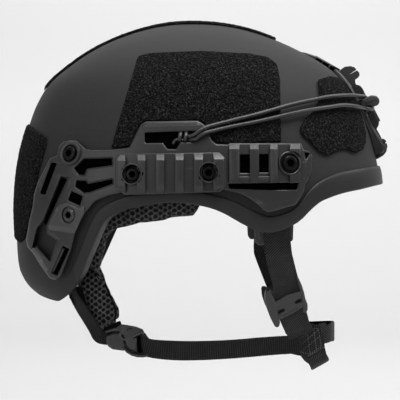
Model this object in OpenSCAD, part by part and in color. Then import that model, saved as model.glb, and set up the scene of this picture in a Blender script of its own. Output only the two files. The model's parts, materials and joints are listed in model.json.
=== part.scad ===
// Combat helmet with side rails, shroud, liner and chin harness.
// Frame: +X forward, +Y to the wearer's left, +Z up, millimetres.
// Origin: on the mid-plane, at the height of the top of the ear cut, halfway along the shell.

/* [Shell] */
// Height of the crown above the ear cut
crown_h = 135.5; // [130:0.5:142]
// Half width of the shell above the ears
half_w = 118; // [112:0.5:124]
// Wall thickness of the shell
shell_t = 8; // [6:0.5:9]
// Thickness of the edge trim
trim_t = 1.6; // [1.2:0.1:2]

/* [Rails] */
// Thickness of the rail body
rail_t = 5; // [4:0.5:6]
// Radius of the through-bolts
bolt_r = 2.5; // [2:0.1:2.6]

/* [Liner] */
// Thickness of the foam liner panels
liner_t = 6.5; // [5:0.5:6.5]
// Thickness of the comfort pads
pad_t = 10; // [8:0.5:10]

/* [Harness] */
// Width of the front webbing
web_w = 19; // [18:0.5:19.5]
// Width of the chin webbing
chin_w = 15.5; // [14:0.5:16]
// Thickness of the webbing
web_t = 1.6; // [1.2:0.1:1.8]
// Diameter of the elastic cord
cord_d = 3; // [2.6:0.1:3.2]

/* [Hidden] */
$fn = 48;

// ---- Colours ----
c_shell = "#3a3b3c"; c_trim = "#303132"; c_rail = "#48494a"; c_loop = "#161617";
c_web = "#1f2021"; c_mesh = "#1c1d1e"; c_foam = "#26272a"; c_bolt = "#101011";

// ---- Shell surface ----
// Horizontal slices of the shell are superellipses about the line x = X0.
X0 = -6;  PN = 2.25;
FRONT = 145;  REAR = 134.5;
// Fullness of the front, rear and side profiles against a plain ellipse, by elevation angle
GF = [[-36,1.02],[-20,1.015],[-9,1.004],[0,1],[6,0.998],[12,0.996],[17,1.001],[22,1.009],[28,1.026],[33,1.044],[38,1.062],[42,1.072],[47,1.075],[52,1.062],[57,1.04],[64,1.018],[70,1.018],[76,1.02],[84,1.01],[90,1.01]];
GR = [[-38,0.84],[-34.7,0.90],[-32.6,0.966],[-30.3,1.009],[-27.4,1.046],[-23.4,1.059],[-21,1.054],[-16,1.033],[-10,1.012],[0,1],[10,1],[18,1.008],[25,1.02],[32,1.043],[41,1.068],[48,1.056],[59,1.036],[69,1.0],[76,0.98],[84,0.98],[90,0.98]];
GS = [[-38,0.92],[-34.7,0.96],[-32.6,0.99],[-27,1.008],[-21,1.006],[-10,1.002],[0,1],[10,1.002],[20,1.01],[30,1.025],[40,1.04],[50,1.048],[60,1.04],[70,1.02],[80,1.005],[90,1]];

function seg(t, x, i=0) = (x < t[i+1][0] || i >= len(t)-2) ? i : seg(t, x, i+1);
function slope(t, i) = i == 0 ? (t[1][1]-t[0][1])/(t[1][0]-t[0][0])
  : i == len(t)-1 ? (t[i][1]-t[i-1][1])/(t[i][0]-t[i-1][0])
  : (t[i+1][1]-t[i-1][1])/(t[i+1][0]-t[i-1][0]);
function interp(t, x) = let(i=seg(t,x), h=t[i+1][0]-t[i][0], u=min(1,max(0,(x-t[i][0])/h)), a=t[i][1], b=t[i+1][1], ma=slope(t,i)*h, mb=slope(t,i+1)*h)
  a*(1+2*u)*(1-u)*(1-u) + ma*u*(1-u)*(1-u) + b*u*u*(3-2*u) + mb*u*u*(u-1);
function zof(al) = al >= 0 ? crown_h*sin(al) : crown_h*al*PI/180;
function aof(z) = z >= 0 ? asin(min(1, z/crown_h)) : z/crown_h*180/PI;
function spow(v, e) = v < 0 ? -pow(-v, e) : pow(v, e);
function semi(al, front) = front ? FRONT*cos(al)*interp(GF, al) : REAR*cos(al)*interp(GR, al);
function wide(al) = half_w*cos(al)*interp(GS, al);
// A point of the outer surface by plan angle ps and elevation angle al
function P(ps, al) = [X0 + semi(al, cos(ps) >= 0)*spow(cos(ps), 2/PN), wide(al)*spow(sin(ps), 2/PN), zof(al)];
function N(ps, al) = let(a=min(al, 88.5), d=1.2, u=P(ps+d,a)-P(ps-d,a), v=P(ps,a+d)-P(ps,a-d), n=cross(u,v)) n/norm(n);
function S(ps, al, off) = P(ps, al) + off*N(ps, al);
// Plan angle of the surface point of the right side (y < 0) that has this x and z
function psi_of(x, z) = let(al=aof(z), A=semi(al, x >= X0), r=(x-X0)/A) -acos(max(-1, min(1, spow(r, PN/2))));
function SXZ(x, z, off) = S(psi_of(x, z), aof(z), off);

// ---- Side drawing ----
// Side outlines are set out on a 400-unit sheet, drawn from 1.25 m away: 0.77 mm a unit on the mid-plane, centre at 200,200.
U = 0.77;  FAR = 1250;
function at_y(p, y) = [(p[0]-200)*U*(1+y/FAR), y, (200-p[1])*U*(1+y/FAR)];
function base_at(p, off, x, z, n) = n == 0 ? [x, z] : let(s=SXZ(x, z, off), k=U*(1+s[1]/FAR))
  base_at(p, off, x + ((p[0]-200)*k - s[0]), z + ((200-p[1])*k - s[2]), n-1);
// Point of the right side under sheet point p, with the surface point seen there off mm out
function under(p, off) = let(k=U*(1-95/FAR)) base_at(p, off, (p[0]-200)*k, (200-p[1])*k, 10);
// Sheet point laid on the right side of the shell, off mm out from the surface
function on(p, off=0) = let(b=under(p, off)) SXZ(b[0], b[1], off);
function xz(p) = [p[0], p[2]];
function flat(pts, off=3) = [for (p = pts) xz(on(p, off))];

// Lower edge of the shell and upper edge of the trim, from the brow to the nape
RIM = [[380,182],[370,184.5],[360,187],[350,189],[340,191.5],[330,195],[320,199.5],[313,205],[307,211],[300,218],[293,222.5],[285,226],[277,229],[268,230],[260,229],[250,225],[240,220],[230,214],[215,207],[200,203],[185,200.6],[170,200],[155,201.5],[140,204],[126,207],[114,212],[106,218],[101,226],[96,237],[91,249],[86,261],[81,273],[76,283],[70,291],[63,297],[56,300]];
TOP = [[377,166],[364,168],[350,170.5],[340,172.5],[330,176],[322,180],[315,184.5],[308,191],[303,198],[298,205],[292,210],[283,214],[270,216.5],[258,213],[247,208],[236,203],[225,198.5],[212,194.5],[198,191.5],[182,190],[165,190],[148,191.5],[132,194.5],[118,199],[107,204],[99,210],[94,217],[89.5,226],[85.5,236],[81,247],[76.5,258],[72,268],[66,277],[59,283],[52,286]];
function rim_table(pts, ends) = [for (q = concat([ends[0]], [for (i=[len(pts)-1:-1:0]) xz(on(pts[i], 0))], [ends[1]])) q];
RIMT = rim_table(RIM, [[-125,-70],[138.6,13.9]]);
TOPT = rim_table(TOP, [[-132,-59],[136.6,25.6]]);
function rim_fix(t, ps, z, n) = n == 0 ? z : let(x=P(ps, aof(z))[0]) rim_fix(t, ps, 0.5*z+0.5*interp(t, x), n-1);
function rim_al(ps) = aof(rim_fix(RIMT, ps, -10, 22));
function top_al(ps) = aof(rim_fix(TOPT, ps, 0, 22));
COLS = concat([for (a=[0:5:50]) a], [for (a=[54:3:105]) a], [for (a=[107:1.6:136]) a], [for (a=[139:5.2:175]) a], [180],
  [for (i=[0:7]) 360-(175.4-5.2*i)+0], [for (i=[0:17]) 360-(134.2-1.6*i)], [for (i=[0:17]) 360-(105-3*i)], [for (i=[0:9]) 360-(50-5*i)]);

// ---- Solids from grids of points ----
// outer and inner are grids [row][column]; wrap closes the columns into a ring
function gi(nc, r, c, o) = o + r*nc + c;
module slab(outer, inner, wrap=false) {
  nr = len(outer); nc = len(outer[0]); o2 = nr*nc;
  lastc = wrap ? nc-1 : nc-2;
  pts = concat([for (r=outer) each r], [for (r=inner) each r]);
  f1 = [for (r=[0:nr-2], c=[0:lastc]) let(d=(c+1)%nc) each [[gi(nc,r,c,0), gi(nc,r,d,0), gi(nc,r+1,d,0)], [gi(nc,r,c,0), gi(nc,r+1,d,0), gi(nc,r+1,c,0)]]];
  f2 = [for (r=[0:nr-2], c=[0:lastc]) let(d=(c+1)%nc) each [[gi(nc,r,c,o2), gi(nc,r+1,d,o2), gi(nc,r,d,o2)], [gi(nc,r,c,o2), gi(nc,r+1,c,o2), gi(nc,r+1,d,o2)]]];
  e1 = [for (c=[0:lastc]) let(d=(c+1)%nc, r=nr-1) each [[gi(nc,r,c,0), gi(nc,r,d,0), gi(nc,r,d,o2)], [gi(nc,r,c,0), gi(nc,r,d,o2), gi(nc,r,c,o2)]]];
  e0 = [for (c=[0:lastc]) let(d=(c+1)%nc) each [[gi(nc,0,c,0), gi(nc,0,d,o2), gi(nc,0,d,0)], [gi(nc,0,c,0), gi(nc,0,c,o2), gi(nc,0,d,o2)]]];
  s0 = wrap ? [] : [for (r=[0:nr-2]) each [[gi(nc,r,0,0), gi(nc,r+1,0,0), gi(nc,r+1,0,o2)], [gi(nc,r,0,0), gi(nc,r+1,0,o2), gi(nc,r,0,o2)]]];
  s1 = wrap ? [] : [for (r=[0:nr-2]) let(c=nc-1) each [[gi(nc,r,c,0), gi(nc,r+1,c,o2), gi(nc,r+1,c,0)], [gi(nc,r,c,0), gi(nc,r,c,o2), gi(nc,r+1,c,o2)]]];
  polyhedron(pts, concat(f1, f2, e1, e0, s0, s1), convexity=6);
}
// Curved plate lying on the shell between two edge curves of sheet points (upper and lower), off0 to off1 out
function mix(a, b, t) = a + (b-a)*t;
function curve(c, t) = let(n=len(c)-1, s=min(n-1, floor(t*n))) mix(c[s], c[s+1], t*n-s);
function rows(cs, t) = let(n=len(cs)-1, s=min(n-1, floor(t*n))) [s, t*n-s];
module plate(cs, off0, off1, nu=10, nv=6) {
  g = [for (i=[0:nv]) let(r=rows(cs, i/nv)) [for (j=[0:nu]) under(mix(curve(cs[r[0]], j/nu), curve(cs[r[0]+1], j/nu), r[1]), off1)]];
  slab([for (r=g) [for (b=r) SXZ(b[0], b[1], off1)]], [for (r=g) [for (b=r) SXZ(b[0], b[1], off0)]]);
}
// Curved plate by plan and elevation angles
module cap(p0, p1, a_top, a_bot, off0, off1, nu=12, nv=6) {
  function A(i, j) = let(ps=mix(p0, p1, j/nu)) [ps, mix(a_top, a_bot, i/nv)];
  slab([for (i=[0:nv]) [for (j=[0:nu]) S(A(i,j)[0], A(i,j)[1], off1)]], [for (i=[0:nv]) [for (j=[0:nu]) S(A(i,j)[0], A(i,j)[1], off0)]]);
}
// Slab between two offsets of the right side, for cutting rail outlines from
module skin(p0, p1, z0, z1, h0, h1, nx, nz) {
  slab([for (i=[0:nz]) [for (j=[0:nx]) S(mix(p0,p1,j/nx), aof(mix(z1,z0,i/nz)), h1)]],
       [for (i=[0:nz]) [for (j=[0:nx]) S(mix(p0,p1,j/nx), aof(mix(z1,z0,i/nz)), h0)]]);
}
module sidecut(pts) { rotate([90,0,0]) linear_extrude(height=150) polygon(pts); }
module both(right) { if (right) children(); else mirror([0,1,0]) children(); }
// Moves children so that their +Z runs along n at point p
module aim(p, n) { translate(p) rotate([0, acos(n[2]), atan2(n[1], n[0])]) children(); }
// Ribbon of webbing through points c with width directions wd
module ribbon(c, wd, w, t) {
  n = len(c);
  tn = [for (i=[0:n-1]) let(v=c[min(n-1,i+1)]-c[max(0,i-1)]) v/norm(v)];
  up = [for (i=[0:n-1]) let(q=wd[i]-tn[i]*(wd[i]*tn[i])) q/norm(q)];
  nn = [for (i=[0:n-1]) cross(tn[i], up[i])];
  slab([[for (i=[0:n-1]) c[i]+up[i]*w/2+nn[i]*t/2], [for (i=[0:n-1]) c[i]-up[i]*w/2+nn[i]*t/2]],
       [[for (i=[0:n-1]) c[i]+up[i]*w/2-nn[i]*t/2], [for (i=[0:n-1]) c[i]-up[i]*w/2-nn[i]*t/2]]);
}
function unit(v) = v/norm(v);
function smooth_path(c, per=4) = [for (i=[0:len(c)-2], k=[0:per-1]) let(t=k/per, p0=c[max(0,i-1)], p1=c[i], p2=c[i+1], p3=c[min(len(c)-1,i+2)])
  0.5*(2*p1 + (p2-p0)*t + (2*p0-5*p1+4*p2-p3)*t*t + (3*p1-p0-3*p2+p3)*t*t*t), c[len(c)-1]];
// Round cord through points
module tube(c, r, sides=8) {
  n = len(c);
  tn = [for (i=[0:n-1]) unit(c[min(n-1,i+1)]-c[max(0,i-1)])];
  function frame_at(i) = let(ref=abs(tn[i][2]) > 0.9 ? [1,0,0] : [0,0,1], u=unit(cross(ref, tn[i]))) [u, cross(tn[i], u)];
  ring = [for (i=[0:n-1]) let(f=frame_at(i)) [for (k=[0:sides-1]) c[i] + r*(cos(360*k/sides)*f[0] + sin(360*k/sides)*f[1])]];
  pts = [for (q=ring) each q];
  side = [for (i=[0:n-2], k=[0:sides-1]) let(d=(k+1)%sides, a=i*sides, b=(i+1)*sides) each [[a+k, b+k, b+d], [a+k, b+d, a+d]]];
  polyhedron(pts, concat(side, [[for (k=[0:sides-1]) k]], [[for (k=[sides-1:-1:0]) (n-1)*sides+k]]), convexity=4);
}

// ---- Crown grid: surface point above a plan position ----
function inside(x, y, al) = pow(abs(x-X0)/semi(al, x >= X0), PN) + pow(abs(y)/wide(al), PN) - 1;
function al_at(x, y, lo, hi, n) = n == 0 ? (lo+hi)/2 : let(m=(lo+hi)/2) inside(x, y, m) > 0 ? al_at(x, y, lo, m, n-1) : al_at(x, y, m, hi, n-1);
function SXY(x, y, off) = let(al=al_at(x, y, 0, 89.8, 18), u=spow((x-X0)/semi(al, x >= X0), PN/2), v=spow(y/wide(al), PN/2), ps=atan2(v, u))
  P(ps, al) + off*(al > 86 ? unit(N(ps, 86) + [0, 0, (al-86)*8]) : N(ps, al));
module top_plate(x0, x1, w, off0, off1, nx, ny) {
  slab([for (i=[0:ny]) [for (j=[0:nx]) SXY(mix(x0,x1,j/nx), mix(w,-w,i/ny), off1)]],
       [for (i=[0:ny]) [for (j=[0:nx]) SXY(mix(x0,x1,j/nx), mix(w,-w,i/ny), off0)]]);
}

// ---- Shell ----
ROWS = 12;
SHELL_AL = [for (ps=COLS) rim_al(ps)];
TOP_AL = [for (ps=COLS) top_al(ps)];
module shell_body() {
  nc = len(COLS);
  function al(i, c) = i <= ROWS-3 ? mix(85, TOP_AL[c], i/(ROWS-3)) : mix(TOP_AL[c], SHELL_AL[c], (i-ROWS+3)/2);
  o = [for (i=[0:ROWS-1]) [for (c=[0:nc-1]) S(COLS[c], al(i,c), 0)]];
  n = [for (i=[0:ROWS-1]) [for (c=[0:nc-1]) S(COLS[c], al(i,c), -shell_t)]];
  m = ROWS*nc;
  pts = concat([for (r=o) each r], [for (r=n) each r], [[X0, 0, crown_h], [X0, 0, crown_h-shell_t]]);
  f1 = [for (r=[0:ROWS-2], c=[0:nc-1]) let(d=(c+1)%nc) each [[r*nc+c, (r+1)*nc+d, r*nc+d], [r*nc+c, (r+1)*nc+c, (r+1)*nc+d]]];
  f2 = [for (r=[0:ROWS-2], c=[0:nc-1]) let(d=(c+1)%nc) each [[m+r*nc+c, m+r*nc+d, m+(r+1)*nc+d], [m+r*nc+c, m+(r+1)*nc+d, m+(r+1)*nc+c]]];
  e = [for (c=[0:nc-1]) let(d=(c+1)%nc, r=ROWS-1) each [[r*nc+c, m+r*nc+d, r*nc+d], [r*nc+c, m+r*nc+c, m+r*nc+d]]];
  t1 = [for (c=[0:nc-1]) [2*m, c, (c+1)%nc]];
  t2 = [for (c=[0:nc-1]) [2*m+1, m+(c+1)%nc, m+c]];
  polyhedron(pts, concat(f1, f2, e, t1, t2), convexity=8);
}
// Bolt stations on the sheet: rear, lower and front
BOLTS = [[69,153], [68,215], [290.6,162.8]];
ADS = [[131.8,174.2], [208.8,172.4]];
// The screw heads, h mm out, are the parts that are seen at these sheet points
module station(p, h=8) { b = under(p, h); aim(SXZ(b[0], b[1], 0), N(psi_of(b[0], b[1]), aof(b[1]))) children(); }
SB_X = 131; SB_Z = 46; SB_N = [0.9, 0, 0.436];
module shroud_station() { aim([SB_X, 0, SB_Z], unit(SB_N)) children(); }
module shell() color(c_shell) difference() {
  shell_body();
  for (s=[true,false]) both(s) for (b=BOLTS) station(b) translate([0,0,-14]) cylinder(r=bolt_r+0.4, h=20);
  shroud_station() translate([0,0,-16]) cylinder(r=bolt_r+0.4, h=24);
}

module edge_trim() color(c_trim) {
  nc = len(COLS);
  prof = [for (c=[0:nc-1]) let(ps=COLS[c], r=SHELL_AL[c], t=TOP_AL[c], g=0.14, b=0.72)
    [S(ps, t, 0.25), S(ps, t, trim_t*0.75), S(ps, mix(t,r,0.12), 0.25+trim_t), S(ps, mix(t,r,0.5), 0.25+trim_t), S(ps, r-b*0.6, 0.25+trim_t), S(ps, r-b, trim_t*0.5), S(ps, r-b, -shell_t-trim_t*0.6), S(ps, r-b*0.4, -shell_t-trim_t), S(ps, mix(r,t,0.5), -shell_t-trim_t), S(ps, mix(r,t,0.5), -shell_t-0.35), S(ps, r-g, -shell_t-0.35), S(ps, r-g, 0.25), S(ps, mix(t,r,0.5), 0.25)]];
  k = len(prof[0]);
  polyhedron([for (q=prof) each q], [for (c=[0:nc-1], i=[0:k-1]) let(d=(c+1)%nc, j=(i+1)%k) each [[c*k+i, c*k+j, d*k+j], [c*k+i, d*k+j, d*k+i]]], convexity=8);
}

// ---- Loop fastener panels ----
module crown_loop_strip() color(c_loop) top_plate(-117, 57, 24, 0.4, 2, 14, 6);
module side_panel() plate([[[137,57],[150,53],[200,50.5],[250,53.5],[270,58.5],[277,66]], [[124,102],[150,101],[200,100],[250,100],[272,101],[280,104]], [[111,146],[150,146.5],[200,145],[228,143.4],[252,142],[280,141]]], 0.45, 2, 12, 8);
module loop_cut() { sidecut(flat([[108,151.5],[109,148.5],[128,146.5],[139,123.5],[145,120],[199,119],[205,123.5],[214,139.5],[219,142.5],[286,141.5],[288,153]], 3)); }
module side_loop_right() color(c_loop) difference() { side_panel(); loop_cut(); }
module side_loop_left() color(c_loop) mirror([0,1,0]) side_loop_right();
REAR_EDGE = [[47.5,134],[44,148],[40,161],[36,176],[34,188],[32.5,200],[30,214],[26.5,230],[22,243]];
function rear_row(i, off) = let(q=under(REAR_EDGE[i], 2), ps=psi_of(q[0],q[1])) [for (j=[0:12]) let(t=j/6-1) S(mix(ps, -360-ps, j/12), aof(q[1] + (1-t*t)*mix(10.5, 2.5, i/8)), off)];
module rear_loop_panel() color(c_loop) slab([for (i=[0:8]) rear_row(i, 2)], [for (i=[0:8]) rear_row(i, 0.45)]);
module front_loop_right() color(c_loop) plate([[[318,80],[324,77.5],[330,76],[335,77],[341,81]], [[308,105],[318,107],[330,109],[342,111],[351,113]], [[301,130],[311,141],[326,155.5],[345,149],[357,152]]], 0.45, 2, 8, 8);
module front_loop_left() color(c_loop) mirror([0,1,0]) front_loop_right();

// ---- Side rails ----
RAIL = [[62,143],[68,141],[75,140.5],[80,143],[86,149],[90,151],[110,150],[129,148],[135,136],[141,125],[146,122],[198,121],[203,125],[212,141],[217,144],[228,145],[230,143.5],[300,143],[303,150],[313,152],[316,156],[316,178],[311,182],[306,183],[304,190],[300,197],[295,204],[272,211.5],[268,212],[263,210],[257,204],[250,199],[240,194],[226,190.3],[212,188.2],[198,186.8],[182,186.2],[165,186.4],[148,187.6],[132,190],[118,193.5],[108,196],[95,201.5],[85,213],[76,229],[71,247],[61,275],[56,279.5],[50,278],[41,265],[33,252],[28,247],[26,240],[29,222],[33,205],[34,195],[37,184],[44,170],[50,159],[57,156],[57,149]];
RAIL_CUTS = [
  [[145,133],[195,133],[195,142],[176,142],[176,149],[165,149],[165,142],[145,142]],
  [[240,155],[249.5,155],[249.5,172.5],[240,172.5]], [[259,154],[269,154],[269,172],[259,172]],
  [[228,183.2],[297,183.2],[295,190.8],[232,190.8]],
  [[84,160],[112,160],[112,165],[86,169],[84,174],[80,173],[78,168],[81,164]],
  [[77,183],[86,181],[88,184],[113,179],[113,183],[88,191],[84,192],[77,187]],
  [[71.8,192],[82.1,196.4],[79.5,205],[69,200.4]],
  [[51,164],[56,165],[45,194],[41,192.5]],
  [[61.5,177.5],[68.5,178.5],[57,203],[47.5,224],[47.5,233.5],[58,240],[50,260.5],[37,246.5],[34.5,239],[37.5,229],[43,222]],
  [[63,247],[68,249],[57,273],[53,271.5]]];
LUGS = [[229,239.5],[250,258.5],[270,277.5],[299,303]];
ADL = [[117,125],[137,145],[156,164],[175,183.5],[194,203],[213,224]];
module rail_solid() {
  difference() {
    union() {
      intersection() { skin(-158, -50, -64, 62, 0.5, 0.5+rail_t, 34, 11); sidecut(flat(RAIL, 3)); }
      intersection() { skin(-66, -50, 8, 48, 2, 8.4, 6, 4); union() {
        for (l=LUGS) sidecut(flat([[l[0],144],[l[1],144],[l[1],181],[l[0],181]], 8));
        sidecut(flat([[229,175],[303,175],[303,182],[229,182]], 8)); } }
      station(BOLTS[2]) translate([0,0,2]) cylinder(r=8.4, h=6.4);
      station(BOLTS[0]) translate([0,0,2]) cylinder(r=7, h=5.4);
      station(BOLTS[1]) translate([0,0,2]) cylinder(r=6.6, h=5);
    }
    for (c=RAIL_CUTS) sidecut(flat(c, 4));
    station(BOLTS[2]) { translate([0,0,5.4]) cylinder(r=7.2, h=8); cylinder(r=bolt_r+0.4, h=12); }
    station(BOLTS[0]) { translate([0,0,5]) cylinder(r=5.5, h=8); cylinder(r=bolt_r+0.4, h=12); }
    station(BOLTS[1]) { translate([0,0,4.6]) cylinder(r=5.5, h=8); cylinder(r=bolt_r+0.4, h=12); }
    for (a=ADS) station(a, 11) translate([0,0,-2]) cylinder(r=2.4, h=12);
  }
}
module side_rail_right() color(c_rail) rail_solid();
module side_rail_left() color(c_rail) mirror([0,1,0]) rail_solid();
ADAPT = [[115,158],[117.5,155],[122,153.5],[219,152.5],[224,155],[226,160],[226,185],[223,190],[219,192.5],[124,195],[119,193],[115,187]];
module adapter_solid() {
  difference() {
    union() {
      intersection() { skin(-122, -74, 0, 42, 6, 9.4, 16, 3); sidecut(flat(ADAPT, 8)); }
      intersection() { skin(-122, -74, 0, 42, 7, 12.4, 16, 3); union() {
        for (l=ADL) sidecut(flat([[l[0],156],[l[1],156],[l[1],187],[l[0],187]], 12));
        for (a=ADS) station(a, 11) cylinder(r=8, h=20); } }
    }
    for (a=ADS) station(a, 11) { translate([0,0,8.6]) cylinder(r=6.6, h=8); cylinder(r=2.7, h=20); }
  }
}
module rail_adapter_right() color(c_rail) adapter_solid();
module rail_adapter_left() color(c_rail) mirror([0,1,0]) adapter_solid();

// ---- Screws ----
module screw(r_head, h_head, r_sh, from, to) {
  difference() {
    union() { translate([0,0,from]) cylinder(r=r_head, h=h_head); translate([0,0,to]) cylinder(r=r_sh, h=from-to+0.5); }
    translate([-3.4,-0.55,from+h_head-1.2]) cube([6.8,1.1,3]);
    translate([-0.55,-3.4,from+h_head-1.2]) cube([1.1,6.8,3]);
  }
}
module adapter_screws() color(c_bolt) for (s=[true,false]) both(s) for (a=ADS) station(a, 11) screw(4.9, 2.6, 2.1, 8.9, 1);
module rail_bolts() color(c_bolt) for (s=[true,false]) both(s) {
  station(BOLTS[0]) screw(5, 2.8, bolt_r, 5.3, -10.2);
  station(BOLTS[1]) screw(5, 2.8, bolt_r, 4.9, -10.2);
  station(BOLTS[2]) screw(5, 2.6, bolt_r, 5.7, -10.2);
}
module shell_nuts() color(c_bolt) {
  for (s=[true,false]) both(s) for (b=BOLTS) station(b) translate([0,0,-10]) difference() { cylinder(r=6, h=1); translate([0,0,-1]) cylinder(r=bolt_r+0.4, h=4); }
  shroud_station() translate([0,0,-10.9]) difference() { cylinder(r=6, h=1.3); translate([0,0,-1]) cylinder(r=bolt_r+0.4, h=4); }
}

// ---- Front shroud ----
function mid(p) = [(p[0]-200)*U, (200-p[1])*U];
function mids(pts) = [for (p=pts) mid(p)];
module across(pts, y0, y1) { translate([0,y1,0]) rotate([90,0,0]) linear_extrude(height=y1-y0) polygon(pts); }
// Height, half width and thickness of the base plate
PLATE = [[112.5,9,1.1],[106.5,12,2.7],[98,19,3.2],[89,28.5,3],[80,28.5,2],[71.3,28.5,1.8],[63,28.5,2.2],[54.7,28.5,4],[46.4,28.5,6.2],[39,28,8.2],[34.5,26,7.2]];
module shroud() color(c_rail) difference() {
  union() {
    // base plate follows the shell from the brow to the crown
    slab([for (q=PLATE) [for (j=[0:8]) front_pt(mix(-q[1],q[1],j/8), q[0], q[2])]],
         [for (q=PLATE) [for (j=[0:8]) front_pt(mix(-q[1],q[1],j/8), q[0], 0.6)]]);
    across(mids([[313.5,59.4],[315,55.6],[318,56.4],[339,69.3],[338,74],[334,74.6]]), -6, 6);
    across(mids([[336,75],[340,69],[345,66.2],[351,65.9],[354.5,67.2],[356,68.7],[350,72.2],[349.6,73],[350,73.9],[357,70.2],[359,73],[359.7,75.6],[358.7,77.2],[355,79.3],[354,83],[348,87],[343,83]]), -9, 9);
    for (s=[-1,1]) across([for (p=[[355.4,99.6],[363.5,98.9],[367,97],[370.6,95.5],[374.4,95.1],[377.4,96.7],[379,99.7],[378.6,102.8],[376.7,104.7],[372.8,106],[366,106.6],[361,107.4]]) let(q=at_y(p,-26)) [q[0], q[2]]], s*26-2.5, s*26+2.5);
  }
  translate([60,-19.4,30]) cube([100,38.8,60.5]);
}
function front_pt(y, z, off) = let(al=aof(z), v=min(1, pow(abs(y)/wide(al), PN/2)), ps=asin(v)*(y < 0 ? -1 : 1)) S(ps, al, off);
INSERT = [[353.5,88.5],[357,84.5],[360.2,85.6],[362.5,88.3],[366.3,96],[378.8,119.5],[379.3,122.7],[376.7,129.6],[376,132],[379.7,138],[383.6,138.4],[385.9,140.3],[387,142.6],[387.8,146.4],[386.2,151],[384.7,154],[379.7,156.7],[377.5,158],[372,140],[367,124],[360,107],[356,98]];
module shroud_insert() color(c_bolt) difference() {
  union() {
    across(mids(INSERT), -19, 19);
  }
  shroud_station() { translate([0,0,7.1]) cylinder(r=6, h=20); translate([0,0,-2]) cylinder(r=bolt_r+0.4, h=20); }
}
module shroud_bolts() color(c_bolt) shroud_station() screw(5.2, 2.6, bolt_r, 7.5, -11);

// ---- Elastic cords ----
CORD_UP = [[188,137,4.6],[194,135,6.6],[199.5,131.3,8],[206,127.6,8],[213,125.4,6.4],[230,121,4.4],[260,113.5,4.4],[290,105,4.4],[310,100.5,4.4],[328,96.9,4.6]];
CORD_LO = [[330,107,4.6],[310,110,4.4],[290,114,4.4],[260,121,4.4],[230,127,4.4],[213,131,6.4],[206,132.8,8],[200,136.2,8],[195.5,139.5,6.6],[189,140,3.8]];
module bungee() {
  a = [for (q=CORD_UP) on([q[0],q[1]], q[2])];
  b = [for (q=CORD_LO) on([q[0],q[1]], q[2])];
  front = [on([340,95.8], 4.8), on([350,95.4], 4.8), on([357,95.8], 4.8), at_y([361.2,96.2],-31.6), at_y([362.2,96.1],-28.4), at_y([363,96.2],-25.4), at_y([365,97],-22.4), at_y([368,99.4],-21.1), at_y([371,103],-20.9), at_y([372.4,106.6],-21.3), at_y([372.2,109],-24), at_y([371.4,109.3],-27.2), at_y([369,109],-31), at_y([364.4,108.3],-36), on([358,106.9], 5.2), on([350,105.6], 4.9), on([341,105.4], 4.8)];
  tube(smooth_path(concat(a, front, b), 2), cord_d/2, 8);
}
module bungee_right() color(c_bolt) bungee();
module bungee_left() color(c_bolt) mirror([0,1,0]) bungee();

// ---- Liner ----
module liner_crown() color(c_foam) top_plate(-58, 46, 36, -10.2-liner_t, -10.2, 8, 6);
module liner_front() color(c_foam) difference() {
  cap(-42, 42, 50, 16, -10.2-liner_t, -10.2, 10, 5);
  shroud_station() translate([0,0,-12.6]) cylinder(r=8, h=6);
}
module liner_rear() color(c_foam) cap(140, 220, 50, -14, -10.2-liner_t, -10.2, 10, 7);
module liner_right() color(c_foam) cap(-132, -78, 52, 4, -10.2-liner_t, -10.2, 8, 6);
module liner_left() color(c_foam) mirror([0,1,0]) liner_right();
module pad_crown() color(c_mesh) top_plate(-48, 36, 30, -11-liner_t-pad_t, -11-liner_t, 8, 6);
module pad_front() color(c_mesh) cap(-30, 30, 42, 10, -11-liner_t-pad_t, -11-liner_t, 10, 5);
module pad_rear() color(c_mesh) cap(152, 208, 42, -8, -11-liner_t-pad_t, -11-liner_t, 10, 6);
// Rows of the side pad from its upper edge to its lower one; the left pad is trimmed shorter below
PAD_UP = [[206,150],[190,150],[165,150],[140,152],[120,160],[104,176],[93,200],[86,225],[81,262]];
PAD_MID = [[207,190],[190,192],[160,196],[135,199],[117,206],[104,215],[96,230],[89,248],[82.5,270]];
PAD_LOW = [[198,217],[180,221],[150,227],[127,230.5],[112,233.5],[105.5,240],[101.6,254],[99,265],[95,276]];
PAD_LOW_L = [[198,214],[180,217],[150,223],[130,226.5],[113,229],[99,232],[92,243],[87,253],[83,262]];
PAD_UP_L = [[206,150],[190,150],[165,150],[140,152],[120,160],[104,176],[93,198],[84,220],[78,245]];
PAD_MID_L = [[207,190],[190,192],[160,196],[135,199],[117,204],[103,210],[92,224],[85,240],[80,255]];
module pad_right() color(c_mesh) plate([PAD_UP, PAD_MID, PAD_LOW], -11-liner_t-pad_t, -11-liner_t, 16, 8);
module pad_left() color(c_mesh) mirror([0,1,0]) plate([PAD_UP_L, PAD_MID_L, PAD_LOW_L], -11-liner_t-pad_t, -11-liner_t, 16, 8);

// ---- Harness ----
function pt(x, y, d) = at_y([x, y], d);
PIVOT = [54.4, -15];
module strap_anchor_right() color(c_rail) {
  translate([0,-87.4,0]) rotate([90,0,0]) linear_extrude(height=3) difference() {
    polygon([[41.5,-32.6],[66.3,-29.5],[67,-8],[70,20],[69,33],[57,33],[50,20],[40,-4],[38.6,-20],[39.4,-29.5]]);
    translate([62,26]) circle(r=2.6);
  }
  translate([PIVOT[0],-87.4,PIVOT[1]]) rotate([90,0,0]) cylinder(r=2, h=6.2);
}
module strap_anchor_left() color(c_rail) mirror([0,1,0]) strap_anchor_right();
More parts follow.
